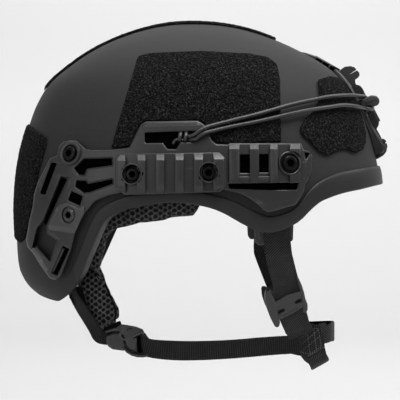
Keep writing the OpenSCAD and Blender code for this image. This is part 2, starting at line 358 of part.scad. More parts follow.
// The left half is the mirror image with its straps let out: the slider, the chin joint and the buckle hang lower
O_JOINT = [7.3, 0, -9.6];  O_BUCKLE = [-6.6, 0, -12.3];  O_TOP = [0.5, 0, -1.5];
function flip(p, o=[0,0,0]) = [p[0]+o[0], -p[1]+o[1], p[2]+o[2]];
PA = [58.2,-88.6,-47];  PB = [69.6,-72.4,-89];
PAL = flip(PA, O_TOP);  PBL = flip(PB, O_JOINT);
function along(a, b) = unit(b-a);
function outward(d, y) = unit([0,y,0] - d*(y*d[1]));
SD = along(PA, PB);  SN = outward(SD, -1);  SW = cross(SN, SD);
SDL = along(PAL, PBL);  SNL = outward(SDL, 1);  SWL = cross(SNL, SDL);
FS = concat([[54.2,-92,-18],[54.7,-92,-25],[55.4,-92,-32],[56.3,-91.4,-39.5]], [PA, PB], [[72,-67.6,-94.6],[74.4,-62,-98.5]]);
FSL = [for (i=[0:7]) flip(FS[i], i < 3 ? [0,0,0] : i == 3 ? 0.4*O_TOP : i == 4 ? O_TOP : O_JOINT)];
module front_strap_right() color(c_web) {
  ribbon([for (i=[0:7]) FS[i]], [[1,0,0.06],[1,0,0.06],[1,0,0.09],[1,0,0.15],SW,SW,[1,-0.1,0.34],[1,-0.12,0.42]], web_w, web_t);
  strap_end();
}
module front_strap_left() color(c_web) {
  ribbon([for (i=[0:7]) FSL[i]], [[1,0,0.06],[1,0,0.06],[1,0,0.09],[1,0,0.17],-SWL,-SWL,[1,0.1,0.34],[1,0.12,0.42]], web_w, web_t);
  mirror([0,1,0]) strap_end();
}
module strap_end() {
  translate([PIVOT[0],-91.1,PIVOT[1]]) rotate([90,0,0]) difference() { union() { cylinder(r=9.4, h=1.8); translate([-9.4,-7,0]) cube([18.8,7,1.8]); } translate([0,0,-1]) cylinder(r=2.4, h=4); }
}
SC = PA + 0.46*(PB-PA);  SCL = PAL + 0.46*(PBL-PAL);
module slider_frame(w, n, d, c) multmatrix([[-w[0],n[0],-d[0],c[0]],[-w[1],n[1],-d[1],c[1]],[-w[2],n[2],-d[2],c[2]],[0,0,0,1]]) children();
module slider_right() color(c_rail) slider_frame(SW, SN, SD, SC) slider_solid();
module slider_left() color(c_rail) slider_frame(SWL, SNL, SDL, SCL) slider_solid();
module slider_solid() {
  difference() {
    union() {
      translate([-13.6,-3,-12]) cube([27.2,6.4,24]);
      translate([13.6,0.2,-12]) rotate([0,0,0]) cylinder(r=2.4, h=24);
      translate([-13.6,0.2,-12]) cylinder(r=2.4, h=24);
    }
    translate([-10,-1.2,-20]) cube([20,2.4,40]);
    translate([-10,0,-30]) cube([20,10,23]);
    translate([-10,0,5]) cube([20,10,23]);
    translate([-10,-10,-7]) cube([20,10,14]);
  }
}
// Stitched joint of the webbing beside the chin
module chin_joint_right() color(c_web) translate([0,-54.6,0]) rotate([90,0,0]) linear_extrude(height=3.4)
  polygon([for (p=[[291,336],[305,325],[309,322.5],[318,321.5],[324,321],[324,348.6],[307,358.2],[304.5,359.6],[301,355],[291,353]]) let(q=at_y(p,-56)) [q[0], q[2]]]);
module chin_joint_left() color(c_web) translate(O_JOINT) mirror([0,1,0]) chin_joint_right();
function halfloop(c) = concat(c, [for (i=[len(c)-2:-1:0]) [c[i][0], -c[i][1], c[i][2]]]);
// Loops under the chin run from the right joint down to the left one
function lean(c, o=O_JOINT) = [for (p=c) p + o*min(1, max(0, (p[1]+50)/100))];
CF = halfloop([[92.5,-56.5,-97.5],[95,-54.9,-97],[96.6,-51,-96.8],[97.6,-44,-96.9],[98.2,-30,-97],[98.6,-15,-97],[98.8,0,-97]]);
module chin_front_strap() color(c_web) ribbon(lean(CF, [7.3,0,-7.6]), [for (p=CF) [0,0,1]], chin_w, web_t*1.6);
CU = halfloop([[84.6,-56.2,-113.6],[86.2,-55.6,-116.4],[88,-52.6,-119.6],[88.6,-46,-121.4],[88.8,-30,-121.6],[88.8,-15,-121.6],[88.8,0,-121.6]]);
module chin_under_strap() color(c_web) ribbon(lean(CU), [for (p=CU) [0.87,0,0.49]], 15, web_t*1.6);
CR = [pt(144.5,346.5,-69.5), pt(155,349,-69.5), pt(175,350.5,-69.5), pt(200,351,-69), pt(230,350,-68), pt(260,347.5,-65.5), pt(279,345.8,-61.8), pt(289,344.9,-58.6)];
module chin_strap_right() color(c_web) ribbon([for (p=CR) p], [for (p=CR) [0,0,1]], chin_w*0.86, web_t);
module chin_strap_left() color(c_web) ribbon([for (i=[0:7]) flip(CR[i], O_BUCKLE + (O_JOINT-O_BUCKLE)*[0,0,0.1,0.32,0.6,0.85,1,1][i])], [for (p=CR) [0,0,1]], chin_w*0.86, web_t);

// ---- Buckle: the plug lies flat against the plate of the socket and leaves it forwards and down ----
BY = -66;
module bk(pts, y0, y1) { translate([0,y1,0]) rotate([90,0,0]) linear_extrude(height=y1-y0) polygon([for (p=pts) let(q=at_y(p,BY)) [q[0], q[2]]]); }
module buckle_socket_right() color(c_rail) difference() {
  union() {
    bk([[106,334],[110,330],[121,325],[130,326.4],[144,330],[147,337],[144,350],[131,353],[118,349],[110,347],[106,343]], -65.4, -62.8);
    bk([[105,335],[108,331],[116,327.4],[121,325],[128,326.4],[128,330.4],[122.4,331.4],[121.8,349.4],[112,348.3],[107,344]], -71, -65.4);
  }
  bk([[108.4,334.6],[111,333.6],[111,343.6],[108.4,342.6]], -80, -60);
}
module buckle_socket_left() color(c_rail) translate(O_BUCKLE) mirror([0,1,0]) buckle_socket_right();
module buckle_plug_right() color(c_rail) difference() {
  bk([[123.4,332.6],[130,331.6],[142,331.2],[146,333],[149.5,339],[150,352],[147,355.6],[142.7,357],[137,357],[130,354.6],[123.6,350.6]], -71.6, -65.8);
  bk([[140,334.6],[142.4,334.6],[146.6,354.6],[144.2,354.6]], -80, -60);
  bk([[142,334],[153,334],[153,360],[143,360]], -70.8, -68.2);
}
module buckle_plug_left() color(c_rail) translate(O_BUCKLE) mirror([0,1,0]) buckle_plug_right();

// Nape webbing from the lower bolt of the shell to the buckle, and the pad across the nape
NS = [[-89,-66.5,-34],[-92,-64,-48],[-94.4,-60.5,-60],[-93.6,-59,-70],[-87.4,-61.5,-81],[-80,-65.4,-90.4],[-74.6,-67,-95.8]];
NSW = [[0.5,-0.8,0.1],[0.5,-0.8,0.2],[0.5,-0.8,0.3],[0.4,-0.8,0.5],[0.3,-0.6,0.9],[0.2,-0.3,1],[0.1,0,1]];
NSO = [[0,0,0],[0,0,0],[1,0,-0.5],[2.5,-0.5,-3],[1,-1,-4],[0,0,0],[0,0,0]];
module nape_strap_right() color(c_web) ribbon(NS, NSW, 13, web_t);
module nape_strap_left() color(c_web) ribbon([for (i=[0:6]) flip(NS[i], O_BUCKLE*[0,0.05,0.12,0.3,0.75,1,1][i] + NSO[i])], [for (w=NSW) flip(w)], 13, web_t);
// Stations from the middle of the back to the end of an arm: front edge, rear edge
NAPE = [[[-99,0,-43],[-98,0,-61]], [[-97.5,-22,-44],[-96.5,-22,-61.5]], [[-92,-41,-46],[-93,-42,-62.5]], [[-84,-51,-48],[-90,-54.5,-63.5]],
  [[-76.4,-54,-51.4],[-88,-58,-64.5]], [[-69.8,-54.5,-60.6],[-87.2,-58.5,-68.6]], [[-62.8,-54.5,-71.3],[-86.7,-58.5,-76.5]], [[-57.9,-54.5,-81],[-83.6,-58.5,-86]], [[-58.8,-54.5,-90],[-78.4,-58.5,-96]]];
// k runs from -8 at the end of the right arm to 8 at the end of the left one, v from the front edge to the rear one
function nape_c(k, v) = let(q=NAPE[abs(k)], p=mix(q[0], q[1], v) + sin(180*v)*[0, abs(k) > 2 ? -2.6 : 0, 0])
  k <= 0 ? p : flip(p, O_BUCKLE*min(1, max(0, (k-3)/4)));
module nape_pad() color(c_mesh) {
  slab([for (i=[0:5]) [for (k=[-8:8]) nape_c(k, i/5)]],
       [for (i=[0:5]) [for (k=[-8:8]) nape_c(k, i/5) - 9*unit([-max(0, 1-abs(k)/5), k/8, 0])]]);
}

shell();
edge_trim();
crown_loop_strip();
side_loop_right();
side_loop_left();
rear_loop_panel();
front_loop_right();
front_loop_left();
side_rail_right();
side_rail_left();
rail_adapter_right();
rail_adapter_left();
adapter_screws();
rail_bolts();
shell_nuts();
shroud();
shroud_insert();
shroud_bolts();
bungee_right();
bungee_left();
liner_crown();
liner_front();
liner_rear();
liner_right();
liner_left();
pad_crown();
pad_front();
pad_rear();
pad_right();
pad_left();
nape_strap_right();
nape_strap_left();
nape_pad();
buckle_socket_right();
buckle_socket_left();
strap_anchor_right();
strap_anchor_left();
front_strap_right();
front_strap_left();
slider_right();
slider_left();
chin_joint_right();
chin_joint_left();
chin_front_strap();
chin_under_strap();
chin_strap_right();
chin_strap_left();
buckle_plug_right();
buckle_plug_left();
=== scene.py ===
import math, json
import bpy, bmesh
import numpy as np
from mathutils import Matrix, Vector
from mathutils.geometry import tessellate_polygon

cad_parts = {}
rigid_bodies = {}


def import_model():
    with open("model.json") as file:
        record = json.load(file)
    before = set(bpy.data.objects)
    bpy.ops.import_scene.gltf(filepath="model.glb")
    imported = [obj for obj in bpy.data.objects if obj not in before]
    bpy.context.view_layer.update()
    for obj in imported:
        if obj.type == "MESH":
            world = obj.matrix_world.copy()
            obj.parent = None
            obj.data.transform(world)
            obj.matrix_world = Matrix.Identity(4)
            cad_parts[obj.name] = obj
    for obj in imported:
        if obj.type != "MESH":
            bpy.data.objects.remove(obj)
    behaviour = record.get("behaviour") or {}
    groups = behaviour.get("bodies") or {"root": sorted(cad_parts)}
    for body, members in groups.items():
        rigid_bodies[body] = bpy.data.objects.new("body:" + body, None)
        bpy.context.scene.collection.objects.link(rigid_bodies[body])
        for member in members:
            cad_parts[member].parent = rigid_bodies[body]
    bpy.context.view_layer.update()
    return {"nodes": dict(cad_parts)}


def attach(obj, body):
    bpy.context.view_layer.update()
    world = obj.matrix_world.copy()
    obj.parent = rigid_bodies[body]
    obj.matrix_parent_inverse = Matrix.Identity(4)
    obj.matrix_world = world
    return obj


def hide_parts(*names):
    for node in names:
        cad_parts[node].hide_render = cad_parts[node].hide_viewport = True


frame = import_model()
SCN = bpy.context.scene
COL = SCN.collection
rng = np.random.default_rng(11)

# ------------------------------------------------------------------ camera
U, FAR = 0.77, 1250.0
cam_data = bpy.data.cameras.new("camera")
cam_data.sensor_width = 36.0
cam_data.lens = 18.0 / (0.154 / (FAR / 1000.0))
cam = bpy.data.objects.new("camera", cam_data)
cam.location = (0.0, -FAR / 1000.0, 0.0)
cam.rotation_euler = (math.radians(90), 0, 0)
COL.objects.link(cam)
SCN.camera = cam

# ------------------------------------------------------------------ shell surface, the same rule as the CAD
CROWN, HALF, X0, PN, FRONT, REAR = 135.5, 118.0, -6.0, 2.25, 145.0, 134.5
SHELL_T = 8.0


def table(t):
    a = np.array(t, float)
    x, y = a[:, 0], a[:, 1]
    m = np.empty_like(y)
    m[0] = (y[1] - y[0]) / (x[1] - x[0])
    m[-1] = (y[-1] - y[-2]) / (x[-1] - x[-2])
    m[1:-1] = (y[2:] - y[:-2]) / (x[2:] - x[:-2])
    return x, y, m


def interp(t, q):
    x, y, m = t
    q = np.asarray(q, float)
    i = np.clip(np.searchsorted(x, q, side="right") - 1, 0, len(x) - 2)
    h = x[i + 1] - x[i]
    u = np.clip((q - x[i]) / h, 0, 1)
    return (y[i] * (1 + 2 * u) * (1 - u) ** 2 + m[i] * h * u * (1 - u) ** 2
            + y[i + 1] * u * u * (3 - 2 * u) + m[i + 1] * h * u * u * (u - 1))


GF = table([[-36, 1.02], [-20, 1.015], [-9, 1.004], [0, 1], [6, 0.998], [12, 0.996], [17, 1.001], [22, 1.009], [28, 1.026], [33, 1.044], [38, 1.062], [42, 1.072], [47, 1.075], [52, 1.062], [57, 1.04], [64, 1.018], [70, 1.018], [76, 1.02], [84, 1.01], [90, 1.01]])
GR = table([[-38, 0.84], [-34.7, 0.90], [-32.6, 0.966], [-30.3, 1.009], [-27.4, 1.046], [-23.4, 1.059], [-21, 1.054], [-16, 1.033], [-10, 1.012], [0, 1], [10, 1], [18, 1.008], [25, 1.02], [32, 1.043], [41, 1.068], [48, 1.056], [59, 1.036], [69, 1.0], [76, 0.98], [84, 0.98], [90, 0.98]])
GS = table([[-38, 0.92], [-34.7, 0.96], [-32.6, 0.99], [-27, 1.008], [-21, 1.006], [-10, 1.002], [0, 1], [10, 1.002], [20, 1.01], [30, 1.025], [40, 1.04], [50, 1.048], [60, 1.04], [70, 1.02], [80, 1.005], [90, 1]])


def spow(v, e):
    return np.sign(v) * np.abs(v) ** e


def zof(al):
    return np.where(al >= 0, CROWN * np.sin(np.radians(al)), CROWN * np.radians(al))


def aof(z):
    z = np.asarray(z, float)
    return np.where(z >= 0, np.degrees(np.arcsin(np.clip(z / CROWN, -1, 1))), np.degrees(z / CROWN))


def semi(al, front):
    c = np.cos(np.radians(al))
    return np.where(front, FRONT * c * interp(GF, al), REAR * c * interp(GR, al))


def wide(al):
    return HALF * np.cos(np.radians(al)) * interp(GS, al)


def P(ps, al):
    ps, al = np.broadcast_arrays(np.asarray(ps, float), np.asarray(al, float))
    c, s = np.cos(np.radians(ps)), np.sin(np.radians(ps))
    return np.stack([X0 + semi(al, c >= 0) * spow(c, 2 / PN), wide(al) * spow(s, 2 / PN), zof(al)], -1)


def N(ps, al):
    a = np.minimum(al, 88.5)
    d = 1.2
    u = P(ps + d, a) - P(ps - d, a)
    v = P(ps, a + d) - P(ps, a - d)
    n = np.cross(u, v)
    return n / np.linalg.norm(n, axis=-1, keepdims=True)


def S(ps, al, off):
    ps, al, off = np.broadcast_arrays(np.asarray(ps, float), np.asarray(al, float), np.asarray(off, float))
    return P(ps, al) + off[..., None] * N(ps, al)


def psi_of(x, z):
    al = aof(z)
    a = semi(al, x >= X0)
    return -np.degrees(np.arccos(np.clip(spow((x - X0) / a, PN / 2), -1, 1)))


def at_y(px, py, y):
    k = U * (1 + y / FAR)
    return np.stack([(px - 200) * k, y + 0 * k, (200 - py) * k], -1)


def under(px, py, off=0.0):
    """Foot, on the right side of the shell, of the point seen at (px, py) when it is off mm out."""
    px, py, off = np.broadcast_arrays(np.asarray(px, float), np.asarray(py, float), np.asarray(off, float))
    k = U * (1 - 95 / FAR)
    x, z = (px - 200) * k, (200 - py) * k
    for _ in range(12):
        s = S(psi_of(x, z), aof(z), off)
        k = U * (1 + s[..., 1] / FAR)
        x, z = x + ((px - 200) * k - s[..., 0]), z + ((200 - py) * k - s[..., 2])
    return x, z


def on(px, py, off=0.0):
    """Point of the picture plane laid on the right side of the shell, off mm out."""
    x, z = under(px, py, off)
    return S(psi_of(x, z), aof(z), off)


def foot(p, h):
    """Surface point and normal under the picture point p of something h mm out."""
    x, z = under(p[0], p[1], h)
    ps, al = psi_of(x, z), aof(z)
    return S(ps, al, 0.0), N(ps, al)


RIM = [[380, 182], [370, 184.5], [360, 187], [350, 189], [340, 191.5], [330, 195], [320, 199.5], [313, 205], [307, 211], [300, 218], [293, 222.5], [285, 226], [277, 229], [268, 230], [260, 229], [250, 225], [240, 220], [230, 214], [215, 207], [200, 203], [185, 200.6], [170, 200], [155, 201.5], [140, 204], [126, 207], [114, 212], [106, 218], [101, 226], [96, 237], [91, 249], [86, 261], [81, 273], [76, 283], [70, 291], [63, 297], [56, 300]]
TOP = [[377, 166], [364, 168], [350, 170.5], [340, 172.5], [330, 176], [322, 180], [315, 184.5], [308, 191], [303, 198], [298, 205], [292, 210], [283, 214], [270, 216.5], [258, 213], [247, 208], [236, 203], [225, 198.5], [212, 194.5], [198, 191.5], [182, 190], [165, 190], [148, 191.5], [132, 194.5], [118, 199], [107, 204], [99, 210], [94, 217], [89.5, 226], [85.5, 236], [81, 247], [76.5, 258], [72, 268], [66, 277], [59, 283], [52, 286]]


def rim_table(pts, ends):
    a = np.array(pts[::-1], float)
    q = on(a[:, 0], a[:, 1], 0)
    return table([ends[0]] + [[p[0], p[2]] for p in q] + [ends[1]])


RIMT = rim_table(RIM, [[-125, -70], [138.6, 13.9]])
TOPT = rim_table(TOP, [[-132, -59], [136.6, 25.6]])


def rim_al(ps, t=None, z0=-10.0):
    z = np.full(np.shape(ps), z0)
    for _ in range(26):
        x = P(ps, aof(z))[..., 0]
        z = 0.5 * z + 0.5 * interp(t or RIMT, x)
    return aof(z)


def top_al(ps):
    return rim_al(ps, TOPT, 0.0)


# ------------------------------------------------------------------ mesh helpers
def new_object(name, verts, faces, body="helmet", uvs=None, sharp=35, replaces=()):
    me = bpy.data.meshes.new(name)
    v = np.asarray(verts, float) * 0.001
    me.from_pydata([tuple(p) for p in v], [], [tuple(int(i) for i in f) for f in faces])
    me.validate()
    me.polygons.foreach_set("use_smooth", [True] * len(me.polygons))
    if uvs is not None:
        lay = me.uv_layers.new(name="UVMap")
        idx = np.empty(len(me.loops), int)
        me.loops.foreach_get("vertex_index", idx)
        lay.data.foreach_set("uv", np.asarray(uvs, float)[idx].ravel())
    if sharp:
        me.set_sharp_from_angle(angle=math.radians(sharp))
    ob = bpy.data.objects.new(name, me)
    COL.objects.link(ob)
    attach(ob, body)
    if replaces:
        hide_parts(*replaces)
    return ob


def grid_faces(nr, nc, wrap_c=False, wrap_r=False, base=0, flip=False):
    f = []
    for r in range(nr if wrap_r else nr - 1):
        for c in range(nc if wrap_c else nc - 1):
            d, e = (c + 1) % nc, (r + 1) % nr
            q = (base + r * nc + c, base + r * nc + d, base + e * nc + d, base + e * nc + c)
            f.append(q[::-1] if flip else q)
    return f


def mirror_y(verts):
    v = np.array(verts, float)
    v[..., 1] *= -1
    return v


def fix_normals(ob):
    bm = bmesh.new()
    bm.from_mesh(ob.data)
    bmesh.ops.recalc_face_normals(bm, faces=bm.faces)
    bm.to_mesh(ob.data)
    bm.free()


def area2(p):
    p = np.asarray(p, float)
    return 0.5 * float(np.sum(p[:, 0] * np.roll(p[:, 1], -1) - np.roll(p[:, 0], -1) * p[:, 1]))


def fillet(pts, r=1.2, seg=4):
    """Round the corners of a closed outline; a point may carry its own radius as a third number."""
    out, n = [], len(pts)
    for i in range(n):
        p = np.array(pts[i][:2], float)
        rr = pts[i][2] if len(pts[i]) > 2 else r
        a, b = np.array(pts[i - 1][:2], float), np.array(pts[(i + 1) % n][:2], float)
        u, v = a - p, b - p
        lu, lv = np.linalg.norm(u), np.linalg.norm(v)
        u, v = u / lu, v / lv
        ang = math.acos(max(-1, min(1, float(u @ v))))
        if ang > math.radians(172) or rr <= 0:
            out.append(p)
            continue
        t = min(rr / math.tan(ang / 2), 0.47 * lu, 0.47 * lv)
        rr = t * math.tan(ang / 2)
        p0, p1 = p + u * t, p + v * t
        c = p + (u + v) / np.linalg.norm(u + v) * (rr / math.sin(ang / 2))
        a0, a1 = math.atan2(*(p0 - c)[::-1]), math.atan2(*(p1 - c)[::-1])
        da = (a1 - a0 + math.pi) % (2 * math.pi) - math.pi
        k = max(1, int(seg * (math.pi - ang) / (math.pi / 2) + 0.5))
        for j in range(k + 1):
            t_ = a0 + da * j / k
            out.append(c + rr * np.array([math.cos(t_), math.sin(t_)]))
    return np.array(out)


def inset(p, d):
    """Move each vertex of a closed ring along its bisector: inwards for a positive d on an anticlockwise ring."""
    e = np.roll(p, -1, 0) - p
    n = np.stack([-e[:, 1], e[:, 0]], 1)
    n /= np.maximum(np.linalg.norm(n, axis=1, keepdims=True), 1e-9)
    m = n + np.roll(n, 1, 0)
    m /= np.maximum(np.linalg.norm(m, axis=1, keepdims=True), 1e-9)
    c = np.maximum(np.sum(m * n, 1), 0.5)
    return p + m * (d / c)[:, None]


def circle_pts(cx, cy, rx, ry=None, n=40):
    ry = rx if ry is None else ry
    return np.array([[cx + rx * math.cos(2 * math.pi * i / n), cy + ry * math.sin(2 * math.pi * i / n)] for i in range(n)])


def flat_plate(outer, holes, h0, h1, bevel=0.5, steps=(5.0, 5.0), seg=3, cuts_x=(), cuts_y=(), px_mm=0.7, bottom_bevel=False):
    """Plate with holes, drawn on the picture sheet; the third coordinate is the height in mm. Returns verts and faces."""
    rings = []
    for k, ring in enumerate([outer] + list(holes)):
        p = np.asarray(ring, float)
        ccw = area2(p) > 0
        if (k == 0) != ccw:
            p = p[::-1]
        rings.append(p)
    prof = []
    b = min(bevel, (h1 - h0) * 0.45)
    if bottom_bevel:
        prof += [(b * (1 - math.sin(t)), h0 + b * (1 - math.cos(t))) for t in np.linspace(0, math.pi / 2, seg + 1)]
    else:
        prof += [(0.0, h0)]
    prof += [(b * (1 - math.cos(t)), h1 - b + b * math.sin(t)) for t in np.linspace(0, math.pi / 2, seg + 1)]
    bm = bmesh.new()
    caps = {0: [], len(prof) - 1: []}
    for ring in rings:
        prev = None
        for i, (ins, h) in enumerate(prof):
            q = inset(ring, ins / px_mm)
            vs = [bm.verts.new((x, y, h)) for x, y in q]
            if prev:
                n = len(vs)
                for j in range(n):
                    bm.faces.new((prev[j], prev[(j + 1) % n], vs[(j + 1) % n], vs[j]))
            if i in caps:
                caps[i].append(vs)
            prev = vs
    for i, loops in caps.items():
        flat = [v for l in loops for v in l]
        tris = tessellate_polygon([[Vector((v.co.x, v.co.y, 0)) for v in l] for l in loops])
        for t in tris:
            try:
                bm.faces.new([flat[j] for j in t])
            except ValueError:
                pass
    lo = rings[0].min(0)
    hi = rings[0].max(0)
    xs = sorted(set(list(np.arange(lo[0] + steps[0], hi[0], steps[0])) + list(cuts_x)))
    ys = sorted(set(list(np.arange(lo[1] + steps[1], hi[1], steps[1])) + list(cuts_y)))
    for x in xs:
        bmesh.ops.bisect_plane(bm, geom=bm.verts[:] + bm.edges[:] + bm.faces[:], dist=1e-4, plane_co=(x, 0, 0), plane_no=(1, 0, 0))
    for y in ys:
        bmesh.ops.bisect_plane(bm, geom=bm.verts[:] + bm.edges[:] + bm.faces[:], dist=1e-4, plane_co=(0, y, 0), plane_no=(0, 1, 0))
    bmesh.ops.remove_doubles(bm, verts=bm.verts[:], dist=1e-4)
    bmesh.ops.recalc_face_normals(bm, faces=bm.faces[:])
    bm.verts.ensure_lookup_table()
    v = np.array([tuple(q.co) for q in bm.verts])
    f = [[w.index for w in q.verts] for q in bm.faces]
    bm.free()
    return v, f


def merge(parts):
    vs, fs, base = [], [], 0
    for v, f in parts:
        vs.append(np.asarray(v, float))
        fs += [[i + base for i in q] for q in f]
        base += len(v)
    return np.concatenate(vs), fs


def both_sides(name, verts, faces, slot, nodes, sharp=35, body="helmet", uvs=None, shift=(0, 0, 0), left=None):
    """The right-hand piece and its mirror image moved by shift (or the mesh given for the left), each in place of its own node."""
    r = new_object(name + "_r", verts, faces, body, uvs, sharp, [nodes + "_right"] if nodes else ())
    lv, lf, luv = (mirror_y(verts) + np.array(shift, float), [q[::-1] for q in faces], uvs) if left is None else left
    l = new_object(name + "_l", lv, lf, body, luv, sharp, [nodes + "_left"] if nodes else ())
    return r, l


# ------------------------------------------------------------------ materials
class Nodes:
    def __init__(self, name):
        self.m = bpy.data.materials.new(name)
        self.m.use_nodes = True
        self.t = self.m.node_tree
        self.b = self.t.nodes["Principled BSDF"]
        self.co = self.t.nodes.new("ShaderNodeTexCoord")

    def node(self, kind, **kw):
        n = self.t.nodes.new(kind)
        for k, v in kw.items():
            setattr(n, k, v)
        return n

    def link(self, a, b):
        self.t.links.new(a, b)

    def noise(self, scale, detail=3, rough=0.55, coord="Object", out="Fac"):
        n = self.node("ShaderNodeTexNoise")
        n.inputs["Scale"].default_value = scale
        n.inputs["Detail"].default_value = detail
        n.inputs["Roughness"].default_value = rough
        self.link(self.co.outputs[coord], n.inputs["Vector"])
        return n.outputs[out]

    def math(self, op, a, b=None, clamp=False):
        n = self.node("ShaderNodeMath", operation=op, use_clamp=clamp)
        for i, v in enumerate((a, b)):
            if v is None:
                continue
            if isinstance(v, (int, float)):
                n.inputs[i].default_value = v
            else:
                self.link(v, n.inputs[i])
        return n.outputs[0]

    def ramp(self, fac, stops):
        n = self.node("ShaderNodeValToRGB")
        el = n.color_ramp.elements
        while len(el) < len(stops):
            el.new(0.5)
        for e, (p, c) in zip(el, stops):
            e.position = p
            e.color = (*c, 1) if len(c) == 3 else c
        self.link(fac, n.inputs["Fac"])
        return n.outputs["Color"]

    def grey(self, fac, stops):
        return self.ramp(fac, [(p, (c, c, c * 1.03)) for p, c in stops])

    def bump(self, height, strength, dist, normal=None):
        n = self.node("ShaderNodeBump")
        n.inputs["Strength"].default_value = strength
        n.inputs["Distance"].default_value = dist
        self.link(height, n.inputs["Height"])
        if normal is not None:
            self.link(normal, n.inputs["Normal"])
        return n.outputs["Normal"]

    def done(self, color=None, rough=None, normal=None, spec=None, sheen=None, sheen_rough=0.5, coat=None):
        b = self.b
        if color is not None:
            if isinstance(color, (tuple, list)):
                b.inputs["Base Color"].default_value = (*color, 1)
            else:
                self.link(color, b.inputs["Base Color"])
        if rough is not None:
            if isinstance(rough, (int, float)):
                b.inputs["Roughness"].default_value = rough
            else:
                self.link(rough, b.inputs["Roughness"])
        if normal is not None:
            self.link(normal, b.inputs["Normal"])
        if spec is not None:
            b.inputs["Specular IOR Level"].default_value = spec
        if sheen is not None:
            b.inputs["Sheen Weight"].default_value = sheen
            b.inputs["Sheen Roughness"].default_value = sheen_rough
        if coat is not None:
            b.inputs["Coat Weight"].default_value = coat
        return self.m


def edge_wear_and_highlight(k, lo=0.5, hi=0.62):
    """0..1 mask that is bright on convex edges: edge wear, and painted highlight on the bevels."""
    g = k.node("ShaderNodeNewGeometry")
    n = k.noise(180, 3)
    a = k.math("ADD", g.outputs["Pointiness"], k.math("MULTIPLY", k.math("SUBTRACT", n, 0.5), 0.06))
    m = k.node("ShaderNodeMapRange")
    m.inputs["From Min"].default_value = lo
    m.inputs["From Max"].default_value = hi
    k.link(a, m.inputs["Value"])
    return m.outputs["Result"]


def plastic(name, base, rough, grain=1400, bump=0.12, wear_and_highlight=0.35, spec=0.45, var=0.18):
    k = Nodes(name)
    n1 = k.noise(38, 4)
    n2 = k.noise(grain, 2)
    col = k.grey(n1, [(0.25, base * (1 - var)), (0.75, base * (1 + var))])
    # convex edges painted lighter: partly edge wear, partly painted highlight
    if wear_and_highlight:
        mix = k.node("ShaderNodeMix", data_type="RGBA")
        k.link(k.math("MULTIPLY", edge_wear_and_highlight(k), wear_and_highlight), mix.inputs["Factor"])
        k.link(col, mix.inputs["A"])
        mix.inputs["B"].default_value = (base * 2.6, base * 2.6, base * 2.65, 1)
        col = mix.outputs["Result"]
    r = k.math("ADD", k.math("MULTIPLY", n2, 0.12), rough - 0.06)
    nor = k.bump(n2, bump, 0.0002)
    return k.done(col, r, nor, spec)


def shell_paint():
    k = Nodes("shell_paint")
    big = k.noise(14, 5, 0.6)
    fine = k.noise(2600, 2, 0.6)
    mid = k.noise(700, 3, 0.6)
    col = k.grey(big, [(0.3, 0.020), (0.7, 0.025)])
    sp = k.grey(k.math("ADD", k.math("MULTIPLY", fine, 0.6), k.math("MULTIPLY", mid, 0.4)), [(0.38, 0.82), (0.62, 1.12)])
    mul = k.node("ShaderNodeMix", data_type="RGBA", blend_type="MULTIPLY")
    mul.inputs["Factor"].default_value = 1
    k.link(col, mul.inputs["A"])
    k.link(sp, mul.inputs["B"])
    nor = k.bump(k.math("ADD", fine, k.math("MULTIPLY", mid, 1.4)), 0.35, 0.0003)
    return k.done(mul.outputs["Result"], k.math("ADD", k.math("MULTIPLY", fine, 0.1), 0.58), nor, 0.2)


def loop_fabric():
    k = Nodes("loop_pile")
    v = k.node("ShaderNodeTexVoronoi", feature="F1")
    v.inputs["Scale"].default_value = 620
    k.link(k.co.outputs["Object"], v.inputs["Vector"])
    n = k.noise(760, 3, 0.75)
    n2 = k.noise(240, 3, 0.6)
    h = k.math("ADD", k.math("MULTIPLY", v.outputs["Distance"], -0.5), k.math("ADD", k.math("MULTIPLY", n, 1.5), k.math("MULTIPLY", n2, 0.3)))
    # painted highlights: small bright specks in the colour, for loose loop ends catching the light
    speck = k.noise(700, 2, 0.8)
    painted_light = k.grey(speck, [(0.48, 0.0), (0.60, 0.014), (0.71, 0.05)])
    col = k.grey(h, [(0.35, 0.0008), (0.62, 0.004), (0.9, 0.012)])
    add = k.node("ShaderNodeMix", data_type="RGBA", blend_type="ADD")
    add.inputs["Factor"].default_value = 1
    k.link(col, add.inputs["A"])
    k.link(painted_light, add.inputs["B"])
    return k.done(add.outputs["Result"], 0.95, k.bump(h, 1.0, 0.0012), 0.05)


def webbing(name, base=0.012, pitch=0.0015, kind="herring"):
    """Woven webbing; U runs along the strap and V across it, both in metres."""
    k = Nodes(name)
    sep = k.node("ShaderNodeSeparateXYZ")
    k.link(k.co.outputs["UV"], sep.inputs[0])
    u, v = sep.outputs[0], sep.outputs[1]
    tri = lambda x: k.math("ABSOLUTE", k.math("SUBTRACT", k.math("FRACT", x), 0.5))
    if kind == "herring":
        # slanting ribs of a twill
        rib = tri(k.math("ADD", k.math("MULTIPLY", u, 1 / pitch), k.math("MULTIPLY", v, 0.8 / pitch)))
        warp = tri(k.math("MULTIPLY", v, 1 / 0.0009))
        h = k.math("ADD", k.math("MULTIPLY", rib, 1.6), k.math("MULTIPLY", warp, 0.25))
    else:
        rib = tri(k.math("MULTIPLY", u, 1 / pitch))
        warp = tri(k.math("MULTIPLY", v, 1 / 0.0013))
        h = k.math("ADD", k.math("MULTIPLY", rib, 1.35), k.math("MULTIPLY", warp, 0.5))
    n1 = k.noise(2600, 2, 0.6)
    n2 = k.noise(90, 3, 0.6)
    h = k.math("ADD", h, k.math("MULTIPLY", n1, 0.28))
    tone = k.math("ADD", h, k.math("MULTIPLY", k.math("SUBTRACT", n2, 0.5), 0.5))
    col = k.grey(tone, [(0.15, base * 0.12), (0.5, base * 0.7), (0.8, base * 1.9), (1.0, base * 3.0)])
    return k.done(col, 0.6, k.bump(h, 0.9, 0.0006), 0.2, sheen=0.02)


